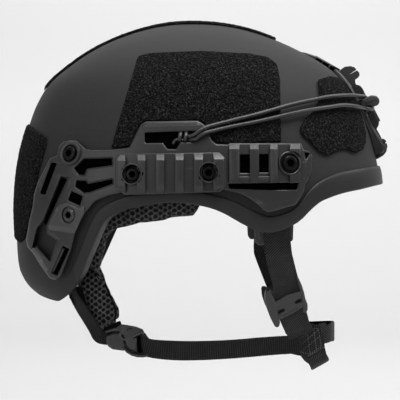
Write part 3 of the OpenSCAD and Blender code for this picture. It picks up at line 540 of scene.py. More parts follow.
def cord_braid():
    k = Nodes("cord_braid")
    sep = k.node("ShaderNodeSeparateXYZ")
    k.link(k.co.outputs["UV"], sep.inputs[0])
    u, v = sep.outputs[0], sep.outputs[1]
    tri = lambda x: k.math("ABSOLUTE", k.math("SUBTRACT", k.math("FRACT", x), 0.5))
    a = tri(k.math("ADD", k.math("MULTIPLY", u, 600), k.math("MULTIPLY", v, 4)))
    b = tri(k.math("SUBTRACT", k.math("MULTIPLY", u, 600), k.math("MULTIPLY", v, 4)))
    h = k.math("MAXIMUM", a, b)
    # painted light: the colour is lighter on the cord's upper side and darker underneath, by the height of the surface
    # normal
    up = k.node("ShaderNodeSeparateXYZ")
    k.link(k.node("ShaderNodeNewGeometry").outputs["Normal"], up.inputs[0])
    painted_light = k.math("ADD", k.math("MULTIPLY", up.outputs[2], 0.5), 0.5)
    col = k.grey(k.math("MULTIPLY", k.math("ADD", h, 0.5), painted_light), [(0.12, 0.0012), (0.45, 0.007), (0.85, 0.036)])
    return k.done(col, 0.34, k.bump(h, 0.45, 0.0004), 0.6)


def mesh_fabric(name, px, py, hole, light=0.05):
    """Spacer mesh: staggered dark holes in a knitted net; UV in metres."""
    k = Nodes(name)
    sep = k.node("ShaderNodeSeparateXYZ")
    k.link(k.co.outputs["UV"], sep.inputs[0])
    wob = k.noise(120, 2, 0.5)
    wob2 = k.noise(95, 2, 0.5)
    u = k.math("ADD", k.math("MULTIPLY", sep.outputs[0], 1 / px), k.math("MULTIPLY", wob, 0.5))
    v = k.math("ADD", k.math("MULTIPLY", sep.outputs[1], 1 / py), k.math("MULTIPLY", wob2, 0.5))

    def cell(du):
        a = k.math("SUBTRACT", k.math("FRACT", k.math("ADD", u, du)), 0.5)
        b = k.math("SUBTRACT", k.math("FRACT", k.math("ADD", v, du)), 0.5)
        a = k.math("MULTIPLY", a, px / py)
        return k.math("SQRT", k.math("ADD", k.math("MULTIPLY", a, a), k.math("MULTIPLY", b, b)))
    d = k.math("MINIMUM", cell(0.0), cell(0.5))
    n = k.noise(1500, 3, 0.6)
    yarn = k.noise(520, 2, 0.6)
    dd = k.math("ADD", d, k.math("MULTIPLY", k.math("SUBTRACT", n, 0.5), 0.08))
    m = k.node("ShaderNodeMapRange", interpolation_type="SMOOTHSTEP")
    m.inputs["From Min"].default_value = hole * 0.72
    m.inputs["From Max"].default_value = hole * 1.25
    k.link(dd, m.inputs["Value"])
    net = m.outputs["Result"]
    bright = k.math("MULTIPLY", net, k.math("ADD", k.math("MULTIPLY", yarn, 0.9), k.math("MULTIPLY", n, 0.5)))
    col = k.grey(bright, [(0.0, 0.0012), (0.25, light * 0.16), (0.6, light * 0.55), (1.0, light * 1.5)])
    h = k.math("ADD", net, k.math("MULTIPLY", n, 0.25))
    return k.done(col, 0.62, k.bump(h, 0.9, 0.0011), 0.18, sheen=0.02)


def thread():
    k = Nodes("sewing_thread")
    n = k.noise(3200, 2)
    return k.done(k.grey(n, [(0.3, 0.08), (0.7, 0.19)]), 0.5, k.bump(n, 0.3, 0.0002), 0.25)


M = {
    "shell": shell_paint(),
    "inner": plastic("shell_inside", 0.010, 0.75, 900, 0.2, 0, 0.15),
    "trim": plastic("trim_rubber", 0.0135, 0.5, 1500, 0.12, 0.1, 0.35, 0.08),
    "rail": plastic("rail_nylon", 0.0150, 0.38, 1600, 0.14, 1.1, 0.5, 0.08),
    # lighter copy of the rail colour: painted light on the rear lower plate
    "rail_plate_painted_light": plastic("rail_plate_painted_light", 0.040, 0.4, 1600, 0.14, 0.8, 0.5, 0.08),
    # lighter copy of the rail colour: painted highlight on the window bar
    "rail_bar_painted_highlight": plastic("rail_bar_painted_highlight", 0.030, 0.38, 1600, 0.14, 0.8, 0.5, 0.08),
    "web_nape": webbing("web_nape", 0.0070, 0.00172),
    # lighter copy of the rail colour: painted highlight on the lug slopes and the limb edge
    "rail_cap_painted_highlight": plastic("rail_cap_painted_highlight", 0.055, 0.38, 1600, 0.14, 0.8, 0.5, 0.06),
    # lighter copy of the buckle colour: painted highlight on the buckle ridges
    "buckle_ridge_painted_highlight": plastic("buckle_ridge_painted_highlight", 0.052, 0.38, 1800, 0.06, 0.4, 0.5, 0.06),
    "shroud": plastic("shroud_nylon", 0.026, 0.46, 1600, 0.14, 0.35, 0.4, 0.1),
    # darker copy of the shroud colour; on the base plate's lower faces and the side walls it is painted shade
    "shroud_dark": plastic("shroud_dark", 0.014, 0.5, 1600, 0.14, 0.35, 0.3, 0.1),
    "buckle": plastic("buckle_acetal", 0.026, 0.38, 1800, 0.06, 0.6, 0.5, 0.06),
    "loop": loop_fabric(),
    "web_herring": webbing("web_twill", 0.0175, 0.00172),
    "web_ribbed": webbing("web_grosgrain", 0.0105, 0.00162, "rib"),
    "thread": thread(),
    "cord": cord_braid(),
    "mesh": mesh_fabric("spacer_mesh", 0.0066, 0.0042, 0.33, 0.082),
    "mesh_fine": mesh_fabric("spacer_mesh_fine", 0.0060, 0.0043, 0.31, 0.135),
    "binding": plastic("pad_binding", 0.006, 0.8, 1500, 0.3, 0, 0.1),
    "foam": plastic("foam", 0.012, 0.85, 700, 0.3, 0, 0.1),
    "bolt": plastic("screw_black", 0.002, 0.3, 2500, 0.05, 0.3, 0.16, 0.1),
    # lighter copy of the screw colour: painted highlight on the lower screw
    "bolt_highlight_copy": plastic("screw_highlight_copy", 0.016, 0.24, 2500, 0.05, 0.8, 0.6, 0.1),
    # near-black: painted shade in recesses, windows, sockets, hollows and gaps
    "dark": plastic("recess_painted_shade", 0.0015, 0.9, 900, 0.1, 0, 0.0),
}


def paint(ob, key):
    ob.data.materials.clear()
    ob.data.materials.append(M[key])
    return ob


# ------------------------------------------------------------------ shell and edge trim
def ring_psi(n=300):
    """Plan angles, closer together round the nape corners."""
    base = np.linspace(0, 360, n, endpoint=False)
    dens = 1.0 + 1.6 * (np.exp(-((base - 122) / 18) ** 2) + np.exp(-((base - 238) / 18) ** 2))
    return np.interp(np.linspace(0, 1, n, endpoint=False), np.concatenate([[0], np.cumsum(dens)]) / dens.sum(), np.linspace(0, 360, n + 1))


PSI = ring_psi(300)
RIM_A = rim_al(PSI)
TOP_A = top_al(PSI)


def make_shell():
    nr, nc = 60, len(PSI)
    t = np.linspace(0, 1, nr)[:, None] ** 0.9
    al = 87.5 + (RIM_A[None, :] - 87.5) * t
    ps = np.broadcast_to(PSI[None, :], al.shape)
    outer = S(ps, al, 0.0)
    # inner surface; a flat band joins it to the outer one at the rim
    inner = S(ps, al, -SHELL_T)
    apex = [[X0, 0, CROWN], [X0, 0, CROWN - SHELL_T]]
    v = np.concatenate([outer.reshape(-1, 3), apex[:1]])
    f = grid_faces(nr, nc, wrap_c=True, flip=True)
    f += [(nr * nc, c, (c + 1) % nc) for c in range(nc)]
    out = (v, f)
    v2 = np.concatenate([inner.reshape(-1, 3), apex[1:]])
    f2 = grid_faces(nr, nc, wrap_c=True)
    f2 += [(nr * nc, (c + 1) % nc, c) for c in range(nc)]
    nv = len(v)
    verts = np.concatenate([v, v2])
    faces = [tuple(q) for q in f] + [tuple(i + nv for i in q) for q in f2]
    r = (nr - 1) * nc
    faces += [(r + c, nv + r + c, nv + r + (c + 1) % nc, r + (c + 1) % nc)[::-1] for c in range(nc)]
    ob = new_object("shell_surface", verts, faces, replaces=["shell"])
    fix_normals(ob)
    ob.data.materials.append(M["shell"])
    ob.data.materials.append(M["inner"])
    mi = np.zeros(len(ob.data.polygons), int)
    mi[len(f):len(f) + len(f2)] = 1
    ob.data.polygons.foreach_set("material_index", mi)
    ob.data.set_sharp_from_angle(angle=math.radians(40))
    return ob


def make_trim():
    """U-channel rubber edging with a rounded section and a fine step at its upper edge."""
    # the band runs out to nothing along the nape
    nape = np.clip((62 - np.abs(PSI - 180)) / 16, 0, 1)
    nape = nape * nape * (3 - 2 * nape)
    h = 1.75 - 1.66 * nape
    t0 = np.minimum(0.3, 0.5 * h)
    ps = PSI
    r, t = RIM_A, TOP_A

    def q(a, off):
        return S(ps, a, off)
    deg = 180 / math.pi / CROWN          # one mm of height, in degrees
    sec = []
    for f_, o in ((0.0, t0), (0.0, h * 0.5), (0.025, h * 0.8), (0.08, h), (0.18, h * 1.1), (0.4, h * 1.17), (0.64, h * 1.1), (0.8, h)):
        sec.append(q(t + (r - t) * f_, o))
    bot = r - (1.9 - 1.1 * nape) * deg
    for a in np.linspace(0, 1, 7)[1:]:
        ang = a * math.pi / 2
        sec.append(q(r - 0.35 * deg - (r - 0.35 * deg - bot) * math.sin(ang), h - (0.95 * h) * (1 - math.cos(ang))))
    for a in np.linspace(0, 1, 6)[1:]:
        ang = a * math.pi / 2
        sec.append(q(bot + (r + 0.1 * deg - bot) * (1 - math.cos(ang)), -8.2 - 1.4 * math.sin(ang)))
    sec.append(q(r + (t - r) * 0.5, -9.6))
    sec.append(q(r + (t - r) * 0.54, -9.2))
    sec.append(q(r + (t - r) * 0.54, -8.1))
    g = np.stack(sec)                      # section points x columns
    ns, nc = g.shape[:2]
    f = grid_faces(ns, nc, wrap_c=True, wrap_r=True, flip=True)
    ob = new_object("edge_trim_band", g.reshape(-1, 3), f, replaces=["edge_trim"], sharp=50)
    fix_normals(ob)
    paint(ob, "trim")
    ob.data.materials.append(M["shell"])
    for p_ in ob.data.polygons:
        if nape[p_.index % nc] > 0.6 and p_.index // nc < 13:
            p_.material_index = 1
    return ob


make_shell()
make_trim()


# ------------------------------------------------------------------ loop panels
def fuzz(v, keep, amp=0.42, seed=3):
    """Uneven pile: a small random offset for each vertex, times keep."""
    r = np.random.default_rng(seed)
    return r.normal(0, amp, len(v)) * keep


def loop_plate(name, outline, node, seed, h1=1.9, mirror=True, step=2.6):
    r = np.random.default_rng(seed)
    o = fillet(outline, 4, 5)
    # resample the edge so that it can be slightly ragged
    e = []
    for i in range(len(o)):
        a, b = o[i], o[(i + 1) % len(o)]
        k = max(1, int(np.linalg.norm(b - a) / 1.3))
        for j in range(k):
            e.append(a + (b - a) * j / k)
    e = np.array(e)
    v, f = flat_plate(e, [], 0.35, h1, bevel=0.9, steps=(step, step), seg=3)
    rim = (v[:, 2] > 0.4) & (v[:, 2] < h1 - 0.15)
    v[:, 2] += np.where(rim, r.normal(0, 0.1, len(v)), 0)
    v[:, 0] += np.where(rim, r.normal(0, 0.2, len(v)), 0)
    v[:, 1] += np.where(rim, r.normal(0, 0.2, len(v)), 0)
    v3 = on(v[:, 0], v[:, 1], v[:, 2])
    obs = []
    if mirror:
        obs = both_sides(name, v3, f, "loop_fastener", node, sharp=0)
    else:
        obs = [new_object(name, v3, f, replaces=[node], sharp=0)]
    for ob in obs:
        fix_normals(ob)
        paint(ob, "loop")
    return obs


SIDE_LOOP = [[138, 56, 5], [150, 53], [200, 50.8], [250, 53.5], [268, 57], [277, 64, 5], [280, 80], [281, 141.5, 0], [228, 143, 0], [217.5, 142.5], [213.5, 139.5], [204, 123.5], [199, 119.8], [145, 120.6], [139.5, 124], [128.5, 146.5], [111, 148.4, 2]]
loop_plate("side_loop_pile", SIDE_LOOP, "side_loop", 21)
FRONT_LOOP = [[318, 80, 2], [330, 76, 3], [338, 77.5, 3], [345, 84, 3], [351, 92, 3], [357, 104, 2], [362, 116, 3], [366, 132, 3], [366, 142, 3], [363, 149.5, 3], [356, 153, 3], [346, 149, 5], [336, 151.5, 5], [328, 156, 4], [320, 152.5, 3], [310, 142, 4], [301, 133, 3], [300, 128, 3], [306, 118, 6], [316, 109.5, 6], [320, 96, 4]]
loop_plate("front_loop_pile", FRONT_LOOP, "front_loop", 22)


def make_crown_strip():
    nx, ny = 150, 40
    xs = np.linspace(-117, 57, nx)
    ys = np.linspace(24, -24, ny)
    X, Y = np.meshgrid(xs, ys)

    def inside(x, y, al):
        return (np.abs(x - X0) / semi(al, x >= X0)) ** PN + (np.abs(y) / wide(al)) ** PN - 1
    lo, hi = np.zeros_like(X), np.full_like(X, 89.8)
    for _ in range(26):
        m = (lo + hi) / 2
        o = inside(X, Y, m) > 0
        hi = np.where(o, m, hi)
        lo = np.where(o, lo, m)
    al = (lo + hi) / 2
    u = spow((X - X0) / semi(al, X >= X0), PN / 2)
    w = spow(Y / wide(al), PN / 2)
    ps = np.degrees(np.arctan2(w, u))
    base = P(ps, al)
    n = N(ps, al)
    k = np.clip((al - 86) * 8, 0, 60)[..., None]
    n = n + k * np.array([0, 0, 1.0])
    n /= np.linalg.norm(n, axis=-1, keepdims=True)
    edge = np.minimum(np.minimum(X - X.min(), X.max() - X), np.minimum(Y - Y.min(), Y.max() - Y))
    rise = 1.9 - 0.9 * np.clip(1 - edge / 1.2, 0, 1) ** 2
    r = np.random.default_rng(5)
    top = base + n * (rise + r.normal(0, 0.12, X.shape))[..., None]
    bot = base + n * 0.35
    v = np.concatenate([top.reshape(-1, 3), bot.reshape(-1, 3)])
    f = grid_faces(ny, nx)
    m = nx * ny
    f += [tuple(i + m for i in q[::-1]) for q in grid_faces(ny, nx)]
    ring = [c for c in range(nx)] + [r_ * nx + nx - 1 for r_ in range(1, ny)] + [(ny - 1) * nx + c for c in range(nx - 2, -1, -1)] + [r_ * nx for r_ in range(ny - 2, 0, -1)]
    f += [(ring[i], ring[(i + 1) % len(ring)], m + ring[(i + 1) % len(ring)], m + ring[i]) for i in range(len(ring))]
    ob = new_object("crown_strip_pile", v, f, replaces=["crown_loop_strip"], sharp=0)
    fix_normals(ob)
    paint(ob, "loop")


make_crown_strip()


def make_rear_panel():
    edge = np.array([[47.5, 134], [44, 148], [40, 161], [36, 176], [34, 188], [32.5, 200], [30, 214], [26.5, 230], [22, 243]], float)
    x, z = under(edge[:, 0], edge[:, 1], 2)
    ps = psi_of(x, z)
    zz = np.linspace(z[0], z[-1], 46)
    pp = np.interp(-zz, -z, ps)
    # rounded corners
    d = np.minimum(zz[0] - zz, zz - zz[-1])
    pp = pp - np.where(d < 7, 4.5 * (1 - np.sqrt(np.clip(1 - ((7 - d) / 7) ** 2, 0, 1))), 0)
    t = np.linspace(0, 1, 90)
    A = pp[:, None] + (-360 - 2 * pp[:, None]) * t[None, :]
    lift = (10.5 + (2.5 - 10.5) * np.linspace(0, 1, 46))[:, None] * (1 - (2 * t[None, :] - 1) ** 2)
    AL = aof(zz[:, None] + lift)
    edgefade = np.minimum(np.minimum(t, 1 - t)[None, :] * 150, np.minimum(np.arange(46), 45 - np.arange(46))[:, None] * 1.6)
    r = np.random.default_rng(6)
    rise = 1.9 - 1.0 * np.clip(1 - edgefade / 1.4, 0, 1) ** 2 + r.normal(0, 0.12, A.shape)
    top = S(A, AL, rise)
    bot = S(A, AL, 0.35)
    ny, nx = A.shape
    v = np.concatenate([top.reshape(-1, 3), bot.reshape(-1, 3)])
    m = nx * ny
    f = grid_faces(ny, nx)
    f += [tuple(i + m for i in q_[::-1]) for q_ in grid_faces(ny, nx)]
    ring = [c for c in range(nx)] + [r_ * nx + nx - 1 for r_ in range(1, ny)] + [(ny - 1) * nx + c for c in range(nx - 2, -1, -1)] + [r_ * nx for r_ in range(ny - 2, 0, -1)]
    f += [(ring[i], ring[(i + 1) % len(ring)], m + ring[(i + 1) % len(ring)], m + ring[i]) for i in range(len(ring))]
    ob = new_object("rear_loop_pile", v, f, replaces=["rear_loop_panel"], sharp=0)
    fix_normals(ob)
    paint(ob, "loop")


make_rear_panel()


# ------------------------------------------------------------------ side rails
RAIL = [[59, 146, 5], [63, 142, 5], [70, 140.3, 4], [77, 141, 3], [86, 149.3, 4], [92, 150.3], [110, 150], [129, 148, 2], [135, 136], [140.5, 125, 4], [146, 121.5, 4], [198, 120.6, 4], [204, 124.5, 3], [212, 140.5, 3], [216.5, 144, 2], [228, 144.3, 0], [229, 143, 0.5], [301, 143, 1.5], [304, 150], [309.6, 151.2, 2], [312.4, 155.4], [311.8, 172, 2], [308.4, 179.5], [305.4, 184], [304.2, 191], [300, 198.5, 3], [295.5, 205, 3], [272, 211.8, 2], [267.6, 212.4, 2], [263, 210, 2], [257, 204.4, 4], [250, 199, 6], [240, 193.6, 6], [226, 190.2, 8], [212, 188], [198, 186.8], [182, 186.2], [165, 186.4], [148, 187.6], [132, 190], [118, 193.4], [108, 195.8, 8], [95, 201, 12], [85, 213, 10], [76, 230, 10], [71.4, 249, 4], [61.2, 276, 4], [56, 280.2, 3], [49.6, 278, 3], [41, 266, 2], [33, 253, 2], [27.5, 247, 3], [26, 240], [29, 222], [33, 205], [34, 195], [37, 184], [44, 170, 6], [50, 158, 4], [57, 155.5, 2]]
W_LOOP = [[144.8, 132.8], [165, 132], [191, 131.2], [197, 131.5, 2], [199, 136, 2], [194, 141.8, 2], [180, 142], [176.5, 149, 2], [167.5, 149, 2], [163, 142.8, 1.5], [145.2, 143]]
W_SQ1 = [[240, 154.6, 0.4], [249.6, 154.6, 0.4], [249.6, 172.8, 0.4], [240, 172.8, 0.4]]
W_SQ2 = [[259.2, 154.2, 0.4], [268.6, 154.2, 0.4], [268.6, 172.2, 0.4], [259.2, 172.2, 0.4]]
W_SLOT = [[228, 184, 0.4], [298, 182.6, 0.4], [297, 189.6, 2], [231, 190.4, 0.4]]
W_A = [[84, 158.6], [112.4, 157.6, 1], [112.6, 165.6, 1], [87, 169.2, 1.5], [84.5, 175.6, 1], [79, 175, 1], [74.2, 168.4, 1], [80, 162.5]]
W_B = [[76.5, 180.5], [86, 180.3, 1], [88, 183.6, 1], [113, 178.6, 1], [113.2, 184, 1], [90, 192.6, 1.5], [84, 193.2, 1.5], [75.6, 186.8, 1]]
W_C = [[71.6, 191.4, 0.8], [82.4, 196.2, 0.8], [79.8, 205.6, 0.8], [68.4, 200.2, 0.8]]
W_S1 = [[51.5, 162.6, 0.8], [56.8, 163, 0.8], [45.2, 195, 1.5], [40.2, 193.4, 1]]
W_S2 = [[61, 176.6, 0.8], [69.2, 177.4, 0.8], [57, 204], [47.6, 225], [47.8, 233, 1], [58.8, 240, 1], [50, 261.5, 1], [36.5, 246.5, 1], [32.2, 249, 0.6], [34.6, 238], [37, 228, 3], [43, 221, 2]]
W_S3 = [[63, 246, 1], [69.4, 248.8, 1], [57.2, 275.4, 1], [51.4, 272.8, 1]]


W_END = [[304.6, 152.6, 0.4], [309.6, 153.4, 0.6], [305.9, 159.8, 0.4]]


def grow(poly, px):
    p = np.asarray(poly, float)
    if area2(p[:, :2]) < 0:
        p = p[::-1]
    q = inset(p[:, :2], -px)
    return q


def bent(v):
    return on(v[:, 0], v[:, 1], v[:, 2])


def chamfer_top(v, y0, y1, h_low, h1):
    """Slope the upper end of a lug down to h_low between sheet heights y0 and y1."""
    t = np.clip((y1 - v[:, 1]) / (y1 - y0), 0, 1)
    cap = h1 - (h1 - h_low) * t
    v[:, 2] = np.minimum(v[:, 2], cap)
    return v


STATIONS = {"rear": (69, 153), "low": (68, 215), "front": (290.6, 162.8), "ad_rear": (131.8, 174.2), "ad_front": (208.8, 172.4)}


def ring_part(p, prof, n=48, h0=8.0):
    """Turned part at a sheet point: prof is [(radius, height)], along the surface normal there."""
    c, nn = foot(p, h0)
    z = Vector(nn)
    x = Vector((1, 0, 0)).cross(z).normalized()
    y = z.cross(x)
    v = []
    for r_, h in prof:
        for i in range(n):
            a = 2 * math.pi * i / n
            v.append(np.array(c) + np.array(x) * r_ * math.cos(a) + np.array(y) * r_ * math.sin(a) + np.array(z) * h)
    f = grid_faces(len(prof), n, wrap_c=True)
    return np.array(v), [list(q) for q in f]


def rails():
    r1 = 1.4
    holes = [fillet(w, r1, 4) for w in (W_LOOP, W_SQ1, W_SQ2, W_SLOT, W_A, W_B, W_C, W_S1, W_S2, W_S3, W_END)]
    out = fillet(RAIL, 1.6, 5)
    parts = []
    v, f = flat_plate(out, holes, 0.5, 5.4, bevel=1.1, steps=(4, 4), seg=4)
    parts.append((bent(v), f))
    # a lower ledge inside the truss windows
    for w, d in ((W_A, 0.6), (W_B, 0.6), (W_S2, 1.2)):
        ring = fillet([q[:2] for q in w], 1.2, 4)
        if area2(ring) < 0:
            ring = ring[::-1]
        inner = inset(ring, d)
        v, f = flat_plate(inset(ring, -0.6), [inner], 0.5, 2.6, bevel=0.4, steps=(4, 4), seg=2)
        parts.append((bent(v), f))
    # lugs of the front section
    for a, b in ((229, 239.6), (250, 258.8), (270, 277.8), (290, 300.5)):
        o = fillet([[a, 143.2, 0.4], [b, 143.0, 0.4], [b, 182.6, 0.6], [a, 183.2, 0.6]], 0.5, 3)
        v, f = flat_plate(o, [], 4.6, 8.2, bevel=0.55, steps=(1.2, 1.2) if a == 290 else (4, 4), seg=3, cuts_y=(144.5, 149.2))
        v = chamfer_top(v, 143.2, 149.2, 4.7, 8.2)
        if a == 290:
            v[:, 2] = np.where(np.hypot(v[:, 0] - 290.9, v[:, 1] - 163.2) < 11.4, np.minimum(v[:, 2], 4.8), v[:, 2])
        parts.append((bent(v), f))
    # cross bar under the lugs, end block and the plate round the lower screw
    v, f = flat_plate(fillet([[229, 176.5], [279, 176], [279, 182.6], [229, 183.2]], 0.6, 3), [], 4.6, 6.8, bevel=0.6, steps=(4, 4))
    parts.append((bent(v), f))
    v, f = flat_plate(fillet([[302.5, 161.5], [306.2, 161.5, 1], [306.2, 178], [302.5, 180.5]], 1.0, 3), [], 4.6, 5.6, bevel=0.7, steps=(4, 4))
    parts.append((bent(v), f))
    v, f = flat_plate(fillet([[60.4, 204.6, 2], [66, 203, 1], [72.5, 205.4, 1], [79, 208.4, 2], [84.6, 204.6, 2], [84.2, 212, 4], [76.6, 229.4, 2], [71, 239.5, 2], [60.5, 237.5, 2], [48.6, 231.5, 1.5], [48.6, 225], [56.2, 208]], 2, 4), [circle_pts(68, 215, 6.2, 8.2, 36)[::-1]], 4.6, 6.6, bevel=0.7, steps=(3, 3), cuts_y=(226,))
    t = np.clip((v[:, 1] - (224.6 + (v[:, 0] - 48) * 0.16)) / 9.0, 0, 1)
    v[:, 2] -= t * 2.2 * (v[:, 2] > 5)
    low = bent(v), f
    # the lower plate takes the lighter copy of the rail colour: painted light
    for ob in both_sides("rail_lower_plate", low[0], low[1], "rail_plastic", None, sharp=32):
        fix_normals(ob)
        ob.data.set_sharp_from_angle(angle=math.radians(32))
        paint(ob, "rail_plate_painted_light")
    # painted highlight: a thin lighter skin on the upper half of the bar over the cord window
    v, f = flat_plate(fillet([[147.2, 122.8, 1.2], [197.2, 121.9, 1.2], [200.6, 125.6, 0.8], [198.6, 126.4, 1], [170, 126.6], [146.2, 127.2, 1], [144.0, 126.8, 0.8]], 1, 4), [], 5.2, 5.5, bevel=0.14, steps=(4, 4), seg=2)
    for ob in both_sides("rail_window_bar_highlight", bent(v), f, "rail_plastic", None, sharp=32):
        fix_normals(ob)
        paint(ob, "rail_bar_painted_highlight")
    # round rib beside the lowest slot
    v, f = flat_plate(fillet([[61.6, 247.0, 1.4], [65.4, 248.6, 1.4], [53.6, 274.0, 1.4], [50.2, 272.4, 1.4]], 1.4, 5), [], 0.5, 4.6, bevel=1.5, steps=(3, 3), seg=5)
    parts.append((bent(v), f))
    # painted highlight: a thin lighter skin along the lower-left edge of the limb
    v, f = flat_plate(fillet([[31.6, 248.4, 0.8], [34.0, 247.6, 0.8], [47.8, 268.4, 0.8], [47.0, 271.8, 0.8], [44.8, 271.2, 0.8]], 0.8, 4), [], 5.2, 5.55, bevel=0.12, steps=(4, 4), seg=2)
    for ob in both_sides("rail_limb_edge_highlight", bent(v), f, "rail_plastic", None, sharp=32):
        fix_normals(ob)
        paint(ob, "rail_cap_painted_highlight")
    # bosses round the screws
    parts.append(ring_part(STATIONS["rear"], [(8.6, 4.2), (8.5, 6.6), (8.2, 7.2), (7.7, 7.5), (6.9, 7.45), (6.4, 7.1), (6.2, 6.4), (6.1, 4.2)]))
    parts.append(ring_part(STATIONS["front"], [(8.6, 4.2), (8.55, 6.4), (8.3, 6.9), (7.9, 7.1), (7.5, 6.9), (7.2, 6.5), (7.1, 5.2), (3.0, 5.2)]))
    v, f = merge(parts)
    for ob in both_sides("rail_body", v, f, "rail_plastic", "side_rail", sharp=32):
        fix_normals(ob)
        ob.data.set_sharp_from_angle(angle=math.radians(32))
        paint(ob, "rail")
    # painted shade: near-black sheets in the windows and screw holes, where the gap between the rail and the shell lies
    # in shade
    shade_sheets = []
    W_S2U = [[61, 176.6], [69.2, 177.4], [57, 204], [47.6, 225], [43, 221]]
    for w, top in ((W_LOOP, 1.3), (W_SQ1, 1.2), (W_SQ2, 1.2), (W_SLOT, 1.2), (W_A, 1.2), (W_B, 1.2), (W_C, 1.2), (W_S1, 1.2), (W_S2U, 1.1), (W_S3, 1.2), (W_END, 3.6)):
        v, f = flat_plate(grow([q[:2] for q in w], 0.8), [], 0.4, top, bevel=0.1, steps=(4, 4), seg=1)
        shade_sheets.append((bent(v), f))
    v, f = flat_plate(circle_pts(68, 215, 7.0, 9.0, 32), [], 0.4, 5.0, bevel=0.1, steps=(4, 4), seg=1)
    shade_sheets.append((bent(v), f))
    shade_sheets.append(ring_part(STATIONS["front"], [(6.9, 4.6), (6.9, 5.5), (3.0, 5.5), (3.0, 4.6)]))
    shade_sheets += [ring_part(STATIONS[q], h0=11.0, prof=[(6.5, 6.8), (6.5, 7.3), (3.0, 7.3), (3.0, 6.8)]) for q in ("ad_rear", "ad_front")]
    v, f = merge(shade_sheets)
    for ob in both_sides("rail_window_painted_shade", v, f, "rail_plastic", None, sharp=32):
        fix_normals(ob)
        paint(ob, "dark")
    # toothed adapter
    ADL = [(117, 125.4), (137, 145.4), (156, 164.2), (175.2, 183.6), (194.2, 203), (213.4, 224)]
    scr = [(131.8, 174.2, 9.4), (208.8, 172.4, 9.2)]
    circ = [circle_pts(x, y, r_, None, 44)[::-1] for x, y, r_ in scr]
    out = fillet([[115.2, 158, 2], [118.5, 154.6, 2], [124, 153.8, 0], [219, 152.2, 3], [226, 158.5, 3], [226.5, 184.5, 3], [220.5, 192, 4], [124, 195, 6], [115.6, 186.5, 5]], 1.5, 5)
    parts = []
    v, f = flat_plate(out, circ, 5.6, 9.0, bevel=0.7, steps=(4, 4), seg=3)
    parts.append((bent(v), f))
    ytop = lambda x: 154.2 - (x - 117) * 0.017
    for k, (a, b) in enumerate(ADL):
        y0 = ytop((a + b) / 2)
        bot = 193.4 - (a - 117) * 0.022
        o = [[a, y0 + (4.2 if k == 0 else 0.4), 0.5 if k else 2], [b, y0 + (0.4 if k < 5 else 4.4), 0.5 if k < 5 else 2], [b, bot - (0 if k < 5 else 3.5), 1], [a, bot - (4.5 if k == 0 else 0), 1]]
        if k == 0:
            o.insert(1, [a + 3.6, y0 + 0.4, 0.6])
        if k == 5:
            o.insert(1, [b - 4.2, y0 + 0.4, 0.6])
        o = fillet(o, 0.5, 3)
        cut = [c for c, s in zip(circ, scr) if s[0] - s[2] < b and s[0] + s[2] > a]
        v, f = flat_plate(o, [], 8.6, 12.2, bevel=0.55, steps=(2.2, 2.2) if cut else (4, 4), seg=3, cuts_y=(y0 + 7,))
        v = chamfer_top(v, y0 + 0.4, y0 + 7, 9.0, 12.2)
        v = chamfer_bottom(v, bot - 5.5, bot, 9.6, 12.2)
        for s in scr:
            d = np.hypot(v[:, 0] - s[0], v[:, 1] - s[1])
            v[:, 2] = np.where(d < s[2] + 0.4, np.minimum(v[:, 2], 8.7), v[:, 2])
        parts.append((bent(v), f))
    for x, y, r_ in scr:
        k_ = 0.70
        parts.append(ring_part((x, y), h0=11.0, prof=[((r_ + 1.3) * k_, 8.4), ((r_ + 1.25) * k_, 12.0), ((r_ + 0.9) * k_, 12.35), ((r_ + 0.3) * k_, 12.4), (r_ * k_, 12.1), (r_ * k_, 7.2), (2.0, 7.2)], n=56))
    v, f = merge(parts)
    for ob in both_sides("adapter_body", v, f, "rail_plastic", "rail_adapter", sharp=32):
        fix_normals(ob)
        ob.data.set_sharp_from_angle(angle=math.radians(32))
        paint(ob, "rail")
    # painted highlight: thin lighter skins on the upper slopes of the lugs, which catch the light
    caps = []
    for a, b in ((229, 239.6), (250, 258.8), (270, 277.8), (290, 300.5)):
        caps.append(slope_highlight_skin(a, b, 143.2, 149.2, 4.7, 8.2, 0, 0))
    for k, (a, b) in enumerate(ADL):
        y0 = ytop((a + b) / 2) + 0.4
        caps.append(slope_highlight_skin(a, b, y0, y0 + 6.6, 9.0, 12.2, 3.0 if k == 0 else 0, 3.6 if k == 5 else 0))
    v, f = merge(caps)
    for ob in both_sides("lug_slope_highlights", v, f, "rail_plastic", None, sharp=32):
        fix_normals(ob)
        paint(ob, "rail_cap_painted_highlight")


def slope_highlight_skin(a, b, y0, y1, h_low, h1, cut_a, cut_b):
    """Thin skin, painted lighter as a highlight, on the upper slope of a lug that runs from a to b."""
    o = [[a + 0.7, y1 - 0.5], [a + 0.7, y0 + 0.9 + cut_a]] + ([[a + 0.7 + cut_a, y0 + 0.9]] if cut_a else [])
    o += ([[b - 0.7 - cut_b, y0 + 0.9]] if cut_b else []) + [[b - 0.7, y0 + 0.9 + cut_b], [b - 0.7, y1 - 0.5]]
    o = np.array(o, float)
    v, f = flat_plate(o if area2(o) > 0 else o[::-1], [], 0, 0.2, bevel=0.06, steps=(4, 4), seg=1)
    v[:, 2] += h1 - (h1 - h_low) * np.clip((y1 - v[:, 1]) / (y1 - y0), 0, 1) - 0.1
    return bent(v), f


def chamfer_bottom(v, y0, y1, h_low, h1):
    t = np.clip((v[:, 1] - y0) / (y1 - y0), 0, 1)
    v[:, 2] = np.minimum(v[:, 2], h1 - (h1 - h_low) * t)
    return v


rails()


